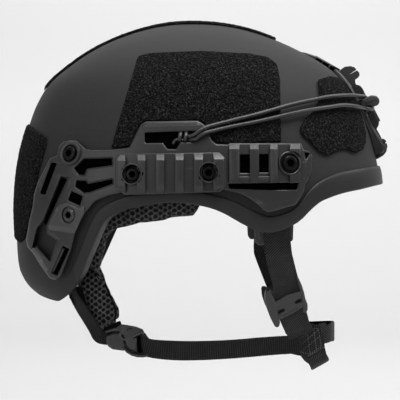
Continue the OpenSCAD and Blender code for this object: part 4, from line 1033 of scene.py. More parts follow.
# ------------------------------------------------------------------ screws
def screw(p, r_, h0, h1, seat, r_sh, end, hs=8.0):
    """Washer, domed head with a six-lobed socket, and shank, at the station p; hs is the height at which p is seen."""
    n = 48
    lobe = lambda a: 1 + 0.18 * math.cos(6 * a)
    c, nn = foot(p, hs)
    z = Vector(nn)
    x = Vector((0.2, 0.1, 1)).cross(z).normalized()
    y = z.cross(x)
    rings = [(0.02, end, 0), (r_sh * 0.8, end, 0), (r_sh, end + 0.6, 0), (r_sh, h0 - 0.35, 0), (seat, h0 - 0.35, 0), (seat, h0 - 0.1, 0), (seat - 0.25, h0, 0), (r_ * 0.98, h0, 0), (r_, h0 + 0.3, 0), (r_, h1 - 0.9, 0), (r_ * 0.95, h1 - 0.35, 0), (r_ * 0.84, h1 - 0.05, 0), (r_ * 0.66, h1 + 0.1, 0), (r_ * 0.5, h1 + 0.12, 0.6), (r_ * 0.45, h1, 1), (r_ * 0.42, h1 - 1.7, 1), (r_ * 0.2, h1 - 1.9, 0), (0.02, h1 - 1.9, 0)]
    v = []
    for rr, h, l in rings:
        for i in range(n):
            a = 2 * math.pi * i / n
            q = rr * (1 + l * (lobe(a) - 1))
            v.append(np.array(c) + np.array(x) * q * math.cos(a) + np.array(y) * q * math.sin(a) + np.array(z) * h)
    v = np.array(v)
    k = 13 * n
    return (v[:k + n], [list(q) for q in grid_faces(14, n, wrap_c=True)]), (v[k:], [list(q) for q in grid_faces(len(rings) - 13, n, wrap_c=True)])


def screws():
    a = [screw(STATIONS[k], 4.8, 7.7, 10.3, 6.1, 2.1, 1.0, 11.0) for k in ("ad_rear", "ad_front")]
    c = [screw(STATIONS["low"], 4.7, 5.9, 7.9, 4.75, 2.5, -10.2)]
    b = [screw(STATIONS["rear"], 5.0, 5.9, 8.4, 5.9, 2.5, -10.2), screw(STATIONS["front"], 5.3, 6.0, 8.2, 6.9, 2.5, -10.2)]
    for nm, parts, node in (("adapter_screw_set", a, "adapter_screws"), ("rail_bolt_set", b, "rail_bolts"), ("rail_low_bolts", c, None)):
        # the sockets are painted shade, near-black
        for k, (tail, key) in enumerate((("", "bolt"), ("_sockets", "dark"))):
            v, f = merge([q[k] for q in parts])
            v2, f2 = merge([(v, f), (mirror_y(v), [q[::-1] for q in f])])
            ob = new_object(nm + tail, v2, f2, sharp=40, replaces=[] if k or node is None else [node])
            if not k:
                fix_normals(ob)
            # the lower screw's head takes the lighter copy: painted highlight
            paint(ob, "bolt_highlight_copy" if parts is c and not k else key)


screws()


# ------------------------------------------------------------------ straps
def catmull(c, per=6):
    c = np.asarray(c, float)
    out = []
    for i in range(len(c) - 1):
        p0, p1, p2, p3 = c[max(0, i - 1)], c[i], c[i + 1], c[min(len(c) - 1, i + 2)]
        for k in range(per):
            t = k / per
            out.append(0.5 * (2 * p1 + (p2 - p0) * t + (2 * p0 - 5 * p1 + 4 * p2 - p3) * t * t + (3 * p1 - p0 - 3 * p2 + p3) * t ** 3))
    out.append(c[-1])
    return np.array(out)


def unit(v):
    v = np.asarray(v, float)
    return v / np.maximum(np.linalg.norm(v, axis=-1, keepdims=True), 1e-12)


def strap_mesh(pts, wdir, width, thick, step=1.1, rib=0.07, pitch=1.45, cells=12, slack=0.0, seed=1, taper=0.0):
    """Woven strap along pts: rounded selvedges, cross ribs and a little unevenness. Returns verts, faces and UVs in metres."""
    pts = np.asarray(pts, float)
    n0 = len(pts)
    ctrl = np.concatenate([pts, np.asarray(wdir, float), np.broadcast_to(np.asarray(width, float).reshape(-1, 1), (n0, 1))], 1)
    fine = catmull(ctrl, 10)
    d = np.concatenate([[0], np.cumsum(np.linalg.norm(np.diff(fine[:, :3], axis=0), axis=1))])
    n = max(6, int(d[-1] / step) + 1)
    s = np.linspace(0, d[-1], n)
    q = np.stack([np.interp(s, d, fine[:, k]) for k in range(7)], 1)
    c = q[:, :3]
    t = unit(np.gradient(c, axis=0))
    up = q[:, 3:6]
    up = unit(up - t * np.sum(up * t, 1, keepdims=True))
    nn = np.cross(t, up)
    w = q[:, 6] / 2
    r = np.random.default_rng(seed)
    wob = np.interp(s, np.linspace(0, d[-1], 9), r.normal(0, slack, 9))
    half = np.linspace(-1, 1, cells + 1)
    prof_u = np.concatenate([half, half[::-1]])
    edge = np.clip((1 - np.abs(half)) * w.mean() / 0.9, 0, 1)
    th = thick / 2 * (0.55 + 0.45 * np.sqrt(edge))
    prof_t = np.concatenate([th, -th[::-1]])
    m = len(prof_u)
    ribs = rib * np.cos(2 * math.pi * s / pitch)[:, None] * np.minimum(edge, 1)[None, :]
    ribs = np.concatenate([ribs, -ribs[:, ::-1]], 1)
    v = c[:, None, :] + up[:, None, :] * (prof_u[None, :, None] * w[:, None, None]) + nn[:, None, :] * ((prof_t[None, :] + ribs + wob[:, None])[..., None])
    f = [list(x) for x in grid_faces(n, m, wrap_c=True)]
    f.append(list(range(m))[::-1])
    f.append([(n - 1) * m + i for i in range(m)])
    uv = np.stack([np.broadcast_to(s[:, None] * 0.001, (n, m)), prof_u[None, :] * w[:, None] * 0.001 + 0.02], -1)
    return v.reshape(-1, 3), f, uv.reshape(-1, 2)


def strap_pair(name, mesh, node, body, key="web", left=None):
    v, f, uv = mesh
    obs = both_sides(name, v, f, "webbing", node, sharp=50, body=body, uvs=uv, left=left)
    for ob in obs:
        fix_normals(ob)
        paint(ob, key)
    return obs


def half_loop(c, flip=True):
    c = [list(p) for p in c]
    return c + [[p[0], -p[1], p[2]] for p in c[-2::-1]]


def on_plane(v, o, n):
    """Picture points (x, y, height) laid on the plane through o with normal n, the height along n."""
    v, o, n = np.asarray(v, float), np.asarray(o, float), unit(n)
    a0 = at_y(v[:, 0], v[:, 1], np.zeros(len(v)))
    d = (a0 - at_y(v[:, 0], v[:, 1], np.full(len(v), -100.0))) / 100.0
    t = ((o - a0) @ n) / (d @ n)
    return a0 + d * t[:, None] + v[:, 2:3] * n


def side_on(v, y0):
    """Picture points with the height measured to the right from the plane y = y0."""
    return at_y(v[:, 0], v[:, 1], y0 - v[:, 2])


PIVOT = (54.4, -15.0)
# the straps of the left side are let out, so its slider, joint and buckle hang lower
O_JOINT, O_BUCKLE, O_TOP = np.array([7.3, 0, -9.6]), np.array([-6.6, 0, -12.3]), np.array([0.5, 0, -1.5])


def flip(p, o=(0, 0, 0)):
    return np.array([p[0], -p[1], p[2]], float) + np.asarray(o, float)


def lean(c, o=O_JOINT):
    """Loops under the chin run from the right joint down to the left one."""
    c = np.asarray(c, float)
    return c + np.array(o, float)[None, :] * np.clip((c[:, 1:2] + 50) / 100, 0, 1)


PA, PB = np.array([58.2, -88.6, -47.0]), np.array([69.6, -72.4, -89.0])
SD = unit(PB - PA)
SN = unit(np.array([0, -1.0, 0]) + SD[1] * SD)
SW = np.cross(SN, SD)
SC = PA + 0.46 * (PB - PA)
PAL, PBL = flip(PA, O_TOP), flip(PB, O_JOINT)
SDL = unit(PBL - PAL)
SNL = unit(np.array([0, 1.0, 0]) - SDL[1] * SDL)
SWL = np.cross(SNL, SDL)
SCL = PAL + 0.46 * (PBL - PAL)
FS = [[54.2, -92, -18], [54.7, -92, -25], [55.4, -92, -32], [56.3, -91.4, -39.5], PA, PB, [72, -67.6, -94.6], [74.4, -62, -98.5]]
FSW = [[1, 0, 0.06], [1, 0, 0.06], [1, 0, 0.09], [1, 0, 0.15], SW, SW, [1, -0.1, 0.34], [1, -0.12, 0.42]]
FSL = [flip(p, (0, 0, 0) if i < 3 else 0.4 * O_TOP if i == 3 else O_TOP if i == 4 else O_JOINT) for i, p in enumerate(FS)]
for i_, d_ in ((2, -1.2), (3, -2.6), (4, -2.6), (5, -1.2)):
    FSL[i_] = FSL[i_] + np.array([d_, 0, 0])
FSWL = [[1, 0, 0.06], [1, 0, 0.06], [1, 0, 0.09], [1, 0, 0.17], -SWL, -SWL, [1, 0.1, 0.34], [1, 0.12, 0.42]]
strap_pair("front_strap_webbing", strap_mesh(FS, FSW, 19.0, 1.5, rib=0.06, pitch=1.5, slack=0.08, seed=2), None, "chin_harness", "web_herring",
           left=strap_mesh(FSL, FSWL, 19.0, 1.5, rib=0.06, pitch=1.5, slack=0.08, seed=12))


def strap_top():
    """End of the front strap round the anchor pin, where the real strap is folded and stitched; drawn as one flat
    rounded piece with a hole.
    """
    parts = []
    ring = fillet([[-9.6, -9], [9.6, -9], [9.6, 2, 4], [6.5, 8.4, 4], [-6.5, 8.4, 4], [-9.6, 2, 4]], 1.0, 4)
    v, f = flat_plate(ring, [circle_pts(0, 0, 2.5, n=28)], 0, 1.5, bevel=0.45, steps=(2, 2), px_mm=1.0, bottom_bevel=True)
    w = np.stack([PIVOT[0] + v[:, 0], -91.2 - v[:, 2], PIVOT[1] + v[:, 1]], 1)
    uv = np.stack([v[:, 1] * 0.001, v[:, 0] * 0.001], 1)
    obs = both_sides("front_strap_end", w, f, "webbing", "front_strap", sharp=50, body="chin_harness", uvs=uv)
    for ob in obs:
        fix_normals(ob)
        paint(ob, "web_herring")
    # eyelet
    prof = [(2.4, -0.2), (2.4, 1.7), (2.7, 2.0), (3.9, 1.95), (4.4, 1.6), (4.4, 1.2), (2.4, -0.2)]
    v = []
    for r_, h in prof:
        for i in range(32):
            a = 2 * math.pi * i / 32
            v.append([PIVOT[0] + r_ * math.cos(a), -91.2 - h, PIVOT[1] + r_ * math.sin(a)])
    f = [list(q) for q in grid_faces(len(prof), 32, wrap_c=True)]
    for ob in both_sides("front_strap_eyelet", v, f, "screws", None, sharp=40, body="chin_harness"):
        fix_normals(ob)
        paint(ob, "bolt")


strap_top()


def stitches(name, path, body, pitch=1.9, r_=0.28, lift=0.0, normal=(0, -1, 0), mirror=True, key="thread", shift=(0, 0, 0)):
    """Row of raised lock stitches along a path of 3-D points."""
    p = np.asarray(path, float)
    d = np.concatenate([[0], np.cumsum(np.linalg.norm(np.diff(p, axis=0), axis=1))])
    k = max(1, int(d[-1] / pitch))
    nn = unit(normal)
    verts, faces = [], []
    for i in range(k):
        s0, s1 = (i + 0.16) * d[-1] / k, (i + 0.84) * d[-1] / k
        a = np.array([np.interp(s0, d, p[:, j]) for j in range(3)])
        b = np.array([np.interp(s1, d, p[:, j]) for j in range(3)])
        t = unit(b - a)
        s = np.cross(nn, t)
        base = len(verts)
        prof = [(0.0, -0.1, 0.35), (0.12, 0.55, 0.8), (0.35, 0.95, 1.0), (0.65, 0.95, 1.0), (0.88, 0.55, 0.8), (1.0, -0.1, 0.35)]
        for u, h, w in prof:
            c = a + (b - a) * u
            for ang in (0, 45, 90, 135, 180):
                ca, sa = math.cos(math.radians(ang)), math.sin(math.radians(ang))
                verts.append(c + s * r_ * w * ca + nn * (lift + r_ * (h * sa * 1.1 - (0.25 if ang in (0, 180) else 0))))
        faces += [list(x) for x in grid_faces(6, 5, base=base)]
    v = np.array(verts)
    obs = both_sides(name, v, faces, "webbing", None, sharp=0, body=body, shift=shift) if mirror else [new_object(name, v, faces, body, sharp=0)]
    for ob in obs:
        fix_normals(ob)
        paint(ob, key)
    return obs


# chin straps
CR = [at_y(*p) for p in ((135.6, 344.4, -68.6), (144.5, 346.6, -69.5), (155, 349, -69.5), (175, 350.5, -69.5), (200, 351, -69), (230, 350, -68), (260, 347.5, -65.5), (279, 345.8, -61.8), (289, 344.9, -58.9), (299, 343.6, -58.3), (309, 342.2, -58.2))]
CRW = [[0.05, 0, 1], [0, 0, 1], [0, 0, 1], [0, 0, 1], [0, 0, 1], [0, 0, 1], [0, 0, 1], [0, 0, 1], [0, 0, 1], [0.1, 0, 1], [0.1, 0, 1]]
CRH = [12.6, 13.0, 13.6, 14.2, 13.4, 12.6, 12.6, 12.8, 13.2, 13.0, 12.5]
CRL = [flip(p, O_BUCKLE + (O_JOINT - O_BUCKLE) * w) for p, w in zip(CR, (0, 0, 0, 0.1, 0.32, 0.6, 0.85, 1, 1, 1, 1))]
strap_pair("chin_strap_webbing", strap_mesh(CR, CRW, CRH, 1.5, step=0.42, rib=0.11, pitch=1.62, cells=14, slack=0.1, seed=4), "chin_strap", "chin_harness", "web_ribbed",
           left=strap_mesh(CRL, CRW, CRH, 1.5, step=0.42, rib=0.11, pitch=1.62, cells=14, slack=0.1, seed=14))

CF = half_loop([[88.5, -57.2, -98.4], [91.6, -56.8, -97.7], [94.6, -55.2, -97.1], [96.8, -51, -96.8], [97.8, -44, -96.9], [98.3, -30, -97], [98.7, -15, -97], [98.8, 0, -97]])
CFW = [[0.0, 0, 1]] * len(CF)
CFH = [15.2] * len(CF)
v_, f_, uv_ = strap_mesh(lean(CF, (7.3, 0, -7.6)), CFW, CFH, 1.9, step=0.9, rib=0.06, pitch=1.5, slack=0.05, seed=5)
ob_ = new_object("chin_front_webbing", v_, f_, "chin_harness", uv_, 50, ["chin_front_strap"])
fix_normals(ob_)
paint(ob_, "web_herring")

CU = half_loop([[84.6, -56.4, -113.2], [86.2, -55.8, -116.4], [88, -53, -119.6], [88.6, -46, -121.4], [88.8, -30, -121.6], [88.8, -15, -121.6], [88.8, 0, -121.6]])
v_, f_, uv_ = strap_mesh(lean(CU), [[0.87, 0, 0.49]] * len(CU), [15.0] * len(CU), 1.9, step=0.9, rib=0.06, pitch=1.5, slack=0.05, seed=6)
ob_ = new_object("chin_under_webbing", v_, f_, "chin_harness", uv_, 50, ["chin_under_strap"])
fix_normals(ob_)
paint(ob_, "web_herring")


def chin_joint():
    """Where the four straps meet: layers of webbing sewn flat with a box and cross."""
    layers = [
        ([[300.6, 356, 1], [309, 349, 0], [325, 347.6, 1.5], [326.4, 353.6, 1], [308.4, 363.8, 1], [304.6, 361, 1]], -56.0, 1.5, (0.5, -0.86)),
        ([[283, 327, 0.5], [301.5, 313.5, 0.5], [305.4, 322.4, 1], [306.5, 333, 1], [291, 339, 1]], -56.6, 1.5, (0.55, -0.83)),
        ([[287.8, 335.6, 0.5], [305.2, 322.4, 0.8], [312, 323.6, 0.5], [320.3, 325.6, 0.8], [323.4, 336, 0.8], [325, 348.2, 1], [317.4, 352.6, 1], [309, 358.2, 1.5], [300.6, 356, 1], [289, 353.4, 1]], -57.1, 1.5, (1, 0.1)),
    ]
    for k, (poly, y0, h, dirn) in enumerate(layers):
        v, f = flat_plate(fillet(poly, 1, 4), [], 0, h, bevel=0.6, steps=(2.5, 2.5), bottom_bevel=True, px_mm=0.735)
        dx, dz = unit(np.array(dirn))
        x, z = v[:, 0] * 0.735, -v[:, 1] * 0.735
        uv = np.stack([(x * dx + z * dz) * 0.001, (-x * dz + z * dx) * 0.001], 1)
        w = side_on(v, y0)
        r = np.random.default_rng(30 + k)
        bulge = 0.25 * np.sin(v[:, 0] * 0.45 + k) * np.sin(v[:, 1] * 0.38)
        w[:, 1] -= bulge * (v[:, 2] > h * 0.6)
        for ob in both_sides("chin_joint_layer%d" % k, w, f, "webbing", "chin_joint" if k == 2 else None, sharp=50, body="chin_harness", uvs=uv, shift=O_JOINT):
            fix_normals(ob)
            paint(ob, "web_herring" if k != 2 else "web_ribbed")
    # painted shade: a dark film for the shaded inside face of the front loop
    v, f = flat_plate(fillet([[304.6, 323.4, 0.5], [308.8, 321.4, 0.5], [330.6, 320.6, 0.5], [331.8, 322.2, 0.5], [326.4, 325.4, 1], [318.6, 329.4, 0.6], [311, 327, 0.5]], 0.5, 3), [], 0, 0.5, bevel=0.2, steps=(3, 3), bottom_bevel=True, px_mm=0.735)
    for ob in both_sides("chin_loop_inside_shade", side_on(v, -56.9), f, "webbing", None, sharp=50, body="chin_harness", shift=O_JOINT):
        fix_normals(ob)
        paint(ob, "dark")
    y = -58.65
    box = [(292, 349.5), (306, 327.5), (318.4, 329), (321.4, 346.6), (309.4, 354.2), (294.5, 350.6)]
    rows = [[box[0], box[1]], [box[1], box[2]], [box[2], box[3]], [box[3], box[4]], [box[4], box[5]], [(294.5, 349.8), (318.6, 330)], [(306.4, 329), (310, 353)], [(307.6, 356.4), (324, 347.2)], [(301, 351.6), (320.6, 335.6)], [(293.6, 344.6), (312.4, 328.8)], [(298.6, 335), (302.6, 351.6)], [(313.6, 329), (316.4, 349.4)]]
    for i, (a, b) in enumerate(rows):
        path = [at_y(a[0] + (b[0] - a[0]) * t, a[1] + (b[1] - a[1]) * t, y) for t in np.linspace(0, 1, 8)]
        stitches("chin_joint_stitch%d" % i, path, "chin_harness", pitch=1.7, r_=0.26, shift=O_JOINT)


chin_joint()


# ------------------------------------------------------------------ slider on the front strap
def slider(side):
    bars = [
        ([[264.8, 291.6, 2], [266.2, 289.4, 1.5], [270.4, 289.8, 2], [274, 296.6, 4], [276.2, 303], [277.2, 310], [279.8, 320.6, 3], [278.6, 325.6, 2.2], [274.8, 326, 3], [270, 316.8, 6], [266.6, 308], [264.6, 299, 4]], -1.6, 3.6, 1.3),
        ([[295.8, 275.2, 1], [298.4, 277.6, 2], [301.6, 284.6, 3], [303.6, 291], [304.8, 297, 3], [307.2, 303, 3], [307.3, 308.6, 2.5], [304.6, 312.2, 2.2], [302, 310.2, 1], [301.4, 303], [300.2, 293, 2], [297.8, 284.4]], -3.4, 3.6, 1.3),
        ([[273.8, 301.2, 0], [286.5, 293.8, 0], [300.6, 289.2, 0], [302.4, 305.8, 0], [300.6, 306.8, 1], [292, 312.2, 0], [281.2, 317.4, 1], [278.4, 318.6, 0]], 1.0, 3.3, 0.8),
        ([[271.6, 292, 0], [297.6, 279.4, 0], [299.4, 285.4, 0], [273.8, 298, 0]], -3.1, -1.1, 0.7),
        ([[277.2, 314.6, 0], [301.6, 303.2, 0], [302.4, 309, 0], [279.4, 320.6, 0]], -3.1, -1.1, 0.7),
    ]
    cuts = {2: [[[302, 296.9], [297.4, 298.3, 1], [294.3, 300.4, 1.2], [295.2, 302.3, 1], [298.8, 300.7, 0.6], [302, 299.4]], [[276.5, 309.6], [281.4, 307.6, 1], [283.9, 306.9, 1], [283.6, 309.2, 1], [280.4, 311.2, 1], [277, 312.6]]]}
    parts = []
    for k, (poly, h0, h1, bv) in enumerate(bars):
        outline = fillet(poly, 1, 5)
        if k == 2:
            # the two hook notches are bitten out of the bar's ends
            right = [[300.6, 289.2, 0], [301.4, 296.9, 0.4], [297.2, 298.2, 1], [294.2, 300.4, 1.2], [295.2, 302.5, 1.2], [298.8, 300.9, 0.8], [301.9, 299.9, 0.4], [302.4, 305.8, 0]]
            left = [[278.4, 318.6, 0], [277.0, 312.9, 0.4], [280.6, 311.4, 1], [284.3, 309.4, 1.2], [283.4, 306.9, 1.2], [280.2, 307.9, 0.8], [276.0, 309.9, 0.4], [273.8, 301.2, 0]]
            outline = fillet([[286.5, 293.6, 0]] + right + [[300.6, 306.8, 1], [292, 312.2, 0], [281.2, 317.4, 1]] + left[0:], 0.6, 4)
        v, f = flat_plate(outline, [], h0, h1, bevel=bv, steps=(3, 3), seg=4, bottom_bevel=True, px_mm=0.72)
        parts.append((on_plane(v, SC, SN), f))
    # thin ridge along the lower edge of the bar
    v, f = flat_plate(fillet([[281.6, 314.2, 0.3], [300.8, 304.0, 0.3], [301.2, 305.2, 0.3], [282, 315.6, 0.3]], 0.3, 2), [], 3.1, 3.75, bevel=0.3, steps=(3, 3), seg=2, px_mm=0.72)
    parts.append((on_plane(v, SC, SN), f))
    v, f = merge(parts)
    if side == "left":
        d = v - SC
        v = SCL - (d @ SW)[:, None] * SWL + (d @ SN)[:, None] * SNL + (d @ SD)[:, None] * SDL
        f = [q[::-1] for q in f]
    ob = new_object("slider_body_" + side, v, f, "slider_" + side, sharp=35, replaces=["slider_" + side])
    fix_normals(ob)
    ob.data.set_sharp_from_angle(angle=math.radians(35))
    paint(ob, "buckle")


slider("right")
slider("left")


# ------------------------------------------------------------------ side buckles
def buckles():
    # socket: back plate, round lobe and the bar that the nape webbing goes round
    parts = []
    v, f = flat_plate(fillet([[106.4, 335.6, 2], [111.4, 333.2, 1], [118.8, 331.6, 1], [121, 324.6, 2], [128, 325.4], [130, 328], [131.6, 336], [130.8, 344], [127.2, 348.4], [124.2, 350.3, 1.5], [118.8, 349.4], [112.4, 348.6, 3], [107.2, 345.4, 3], [105.9, 340]], 1, 5), [], 0, 4.2, bevel=0.9, steps=(3, 3), bottom_bevel=True)
    parts.append((side_on(v, -62.9), f))
    v, f = flat_plate(fillet([[106.4, 335.8, 3], [112.4, 333.4, 2], [119.4, 333.2, 2], [123.6, 338.6, 3], [124.9, 343], [125.6, 346.4, 1], [123.9, 350, 1.5], [118.8, 349.4, 2], [112.4, 348.5, 3], [107.2, 345.4, 3], [105.9, 340, 3]], 1, 5), [], 0, 4.6, bevel=1.9, steps=(2, 2), seg=5)
    parts.append((side_on(v, -66.6), f))
    v, f = flat_plate(fillet([[104.9, 330.9, 1], [110, 329.2], [117, 327.2, 1], [120.4, 324.4, 1], [124, 324.6], [122.6, 331.5, 1], [118.4, 331.4], [111, 331.5], [105.4, 332.9, 0.9]], 0.8, 4), [], 0, 7.2, bevel=1.1, steps=(2.4, 2.4), seg=4, bottom_bevel=True)
    parts.append((side_on(v, -63.2), f))
    v, f = merge(parts)
    for ob in both_sides("buckle_socket_body", v, f, "buckle_plastic", "buckle_socket", sharp=38, shift=O_BUCKLE):
        fix_normals(ob)
        ob.data.set_sharp_from_angle(angle=math.radians(38))
        paint(ob, "buckle")
    # plug: housing with a curved shoulder, eye, thumb ridge, and the ring that carries the chin strap
    parts = []
    v, f = flat_plate(fillet([[120.2, 324.0, 2], [127, 324.9], [135.8, 326.5], [142.8, 329.2, 2], [144.6, 332.6, 1.5], [141.6, 334.2], [136.8, 336.2, 1], [137.0, 344], [137.6, 352.4, 1.2], [133.2, 351.3], [129.2, 349.6], [126.4, 345.6], [124.9, 341], [121.6, 335.6], [119.4, 331.4]], 1.2, 5),
                      [fillet([[120.3, 333.9, 0.6], [123.2, 335.0, 0.8], [125.2, 338.9, 0.6], [122.6, 338.2, 0.8]], 0.6, 4)[::-1]], 0, 5.2, bevel=1.5, steps=(1.8, 1.8), seg=5)
    # shoulder falls away towards the lower left
    drop = np.clip((v[:, 1] - 338) / 14, 0, 1) * 1.1 + np.clip((124 - v[:, 0]) / 6, 0, 1) * 0.9
    v[:, 2] -= drop * (v[:, 2] > 2.5)
    parts.append((side_on(v, -66.6), f))
    v, f = flat_plate(fillet([[131.6, 336.6, 1], [137.6, 333.2], [142.6, 331.2, 1], [143.2, 332.8, 1], [138.2, 335.4], [133.0, 338.0, 1]], 0.9, 4), [], 0, 1.2, bevel=0.7, steps=(3, 3), seg=4)
    parts.append((side_on(v, -71.1), f))
    # arc embossed on the upper shoulder
    arc = [(128.0 + 3.1 * math.cos(a), 331.4 - 3.1 * math.sin(a)) for a in np.linspace(0.35, 2.6, 12)]
    arc2 = [(128.0 + 2.4 * math.cos(a), 331.4 - 2.4 * math.sin(a)) for a in np.linspace(2.6, 0.35, 12)]
    v, f = flat_plate(np.array(arc + arc2), [], 0, 0.6, bevel=0.25, steps=(3, 3), seg=2)
    parts.append((side_on(v, -71.5), f))
    # ring
    v, f = flat_plate(fillet([[124.7, 347.4, 0.8], [127.4, 350.6, 1], [131.8, 353.3], [137.2, 354.6], [143, 354.9], [147.4, 353.8, 1], [148.8, 355.4, 1.2], [147, 356.8, 1], [142.8, 357.5], [137, 357.3], [131.4, 355.7], [127.2, 353.2], [124.4, 350.0, 1]], 1, 5), [], 0, 6.0, bevel=1.1, steps=(2.4, 2.4), seg=4, bottom_bevel=True)
    parts.append((side_on(v, -65.9), f))
    v, f = flat_plate(fillet([[142.6, 331.8, 1], [145.0, 332.8, 1], [149.2, 338.6, 1], [149.9, 347], [148.9, 355.6, 1], [146.6, 355.2, 1], [147.2, 347], [146.6, 340]], 0.8, 4), [], 0, 2.2, bevel=0.8, steps=(2.4, 2.4), seg=3, bottom_bevel=True)
    parts.append((side_on(v, -65.9), f))
    # cross bar that the strap goes round
    v, f = flat_plate(fillet([[140.6, 333.6, 0.5], [142.6, 333.2, 0.5], [144.6, 356.2, 0.5], [142.4, 356.4, 0.5]], 0.5, 3), [], 0, 1.6, bevel=0.6, steps=(2.4, 2.4), seg=3, bottom_bevel=True)
    parts.append((side_on(v, -66.6), f))
    # web across the ring, behind the strap
    v, f = flat_plate(fillet([[121.6, 344, 1], [130, 335, 1], [140, 333.4, 1], [145.6, 334, 1], [148.6, 340, 1], [149, 352, 1], [147, 355.4, 1], [138, 356.2, 1], [128, 352.6, 1]], 1, 4), [], 0, 1.5, bevel=0.5, steps=(3, 3), seg=2, bottom_bevel=True)
    parts.append((side_on(v, -66.0), f))
    v, f = merge(parts)
    for ob in both_sides("buckle_plug_body", v, f, "buckle_plastic", "buckle_plug", sharp=38, body="chin_harness", shift=O_BUCKLE):
        fix_normals(ob)
        ob.data.set_sharp_from_angle(angle=math.radians(38))
        paint(ob, "buckle")
    # painted shade: dark films in the eye, the hollow of the arc, the hollow under the thumb ridge and the gap beside
    # the strap
    dark, light = [], []
    for o, h in (([[120.5, 334.0, 0.6], [123.0, 334.8, 0.8], [125.3, 339.0, 0.6], [122.8, 338.4, 0.8]], 5.27),
                 ([[126.8, 330.6, 0.3], [127.6, 328.6, 0.8], [129.6, 327.8, 0.8], [131.8, 328.6, 0.3], [131.9, 329.4, 0.3], [129.8, 328.8, 0.6], [128.2, 329.6, 0.6], [127.6, 330.9, 0.3]], 5.3),
                 ([[132.6, 338.2, 0.3], [138.3, 335.7, 0.3], [138.0, 336.6, 0.3], [133.6, 338.9, 0.3]], 5.27),
                 ([[136.8, 336.8, 0.5], [139.8, 335.4, 0.5], [141.0, 344], [142.4, 352.6, 0.5], [138.0, 352.7, 0.5]], 4.4)):
        v, f = flat_plate(fillet(o, 0.4, 3), [], 0.4 if h < 5 else 4.2, h, bevel=0.1, steps=(3, 3), seg=1)
        v[:, 2] -= (np.clip((v[:, 1] - 338) / 14, 0, 1) * 1.1 + np.clip((124 - v[:, 0]) / 6, 0, 1) * 0.9) * (h > 5)
        dark.append((side_on(v, -66.6), f))
    # painted highlight: thin lighter films along the thumb ridge and the socket's upper ridge
    for o, y0, h in (([[132.4, 336.2, 0.6], [138.2, 333.4, 0.6], [142.0, 331.9, 0.4], [142.2, 332.7, 0.4], [138.4, 334.6, 0.6], [133.0, 337.2, 0.6]], -71.1, 1.26),
                     ([[106.6, 331.9, 0.4], [111, 330.2], [117.2, 328.6, 0.4], [117.4, 330.0, 0.4], [111.4, 331.0], [107.0, 332.6, 0.4]], -63.2, 7.26)):
        v, f = flat_plate(fillet(o, 0.4, 3), [], h - 0.5, h, bevel=0.1, steps=(3, 3), seg=1)
        light.append((side_on(v, y0), f))
    for nm, q, key, bd in (("buckle_plug_painted_shade", dark, "dark", "chin_harness"), ("buckle_plug_ridge_highlight", light[:1], "buckle_ridge_painted_highlight", "chin_harness"), ("buckle_socket_ridge_highlight", light[1:], "buckle_ridge_painted_highlight", None)):
        v, f = merge(q)
        for ob in both_sides(nm, v, f, "buckle_plastic", None, sharp=38, shift=O_BUCKLE, **({"body": bd} if bd else {})):
            fix_normals(ob)
            paint(ob, key)


buckles()

# nape webbing, and its loose end past the buckle
NS = [[-89, -66.5, -34], [-92, -64.4, -48], [-94.6, -61, -60], [-92.6, -59.8, -70], [-84.8, -62, -82.4], [-77.6, -66, -92.8], [-73.4, -67.4, -99.4], [-68, -67.8, -100.6]]
NSW = [[0.5, -0.8, 0.1], [0.5, -0.8, 0.2], [0.5, -0.8, 0.3], [0.4, -0.8, 0.5], [0.35, -0.6, 0.9], [0.3, -0.3, 1], [0.1, -0.1, 1], [0.0, 0, 1]]
NSH = [13, 13, 13, 12.6, 11.6, 10.4, 9.6, 9.4]
NSO = [[0, 0, 0], [0, 0, 0], [1, 0, -0.5], [2.5, -0.5, -3], [1, -1, -4], [0, 0, 0], [0, 0, 0], [0, 0, 0]]
NSL = [flip(p, O_BUCKLE * w) + np.array(o) for p, w, o in zip(NS, (0, 0.05, 0.12, 0.3, 0.75, 1, 1, 1), NSO)]
strap_pair("nape_strap_webbing", strap_mesh(NS, NSW, NSH, 1.5, rib=0.06, pitch=1.5, slack=0.1, seed=8), "nape_strap", "helmet", "web_nape",
           left=strap_mesh(NSL, [flip(w) for w in NSW], NSH, 1.5, rib=0.06, pitch=1.5, slack=0.1, seed=18))


v_, f_ = flat_plate(fillet([[101, 331, 1], [104.6, 328, 1], [112, 323.6, 1], [120.4, 320.6, 1], [122, 325.4, 1], [112, 330, 1], [104.6, 335.4, 1]], 1, 3), [], 0, 1.4, bevel=0.5, steps=(3, 3), bottom_bevel=True)
for ob_ in both_sides("nape_strap_tab", side_on(v_, -57.4), f_, "webbing", None, sharp=50, shift=O_BUCKLE):
    fix_normals(ob_)
    paint(ob_, "binding")
# painted shade: a dark filler between the nape strap and the pad
v_, f_ = flat_plate(fillet([[69, 297.5, 1], [74, 287, 1], [82, 286, 1], [87, 306, 2], [94, 324, 2], [102, 336, 1], [96, 336, 2], [86, 320, 2], [78, 309, 1]], 1, 3), [], 0, 1.2, bevel=0.4, steps=(3, 3), bottom_bevel=True)
ob_ = new_object("nape_strap_shade_filler_r", side_on(v_, -57.4), f_, "helmet", None, 50)
fix_normals(ob_)
paint(ob_, "binding")


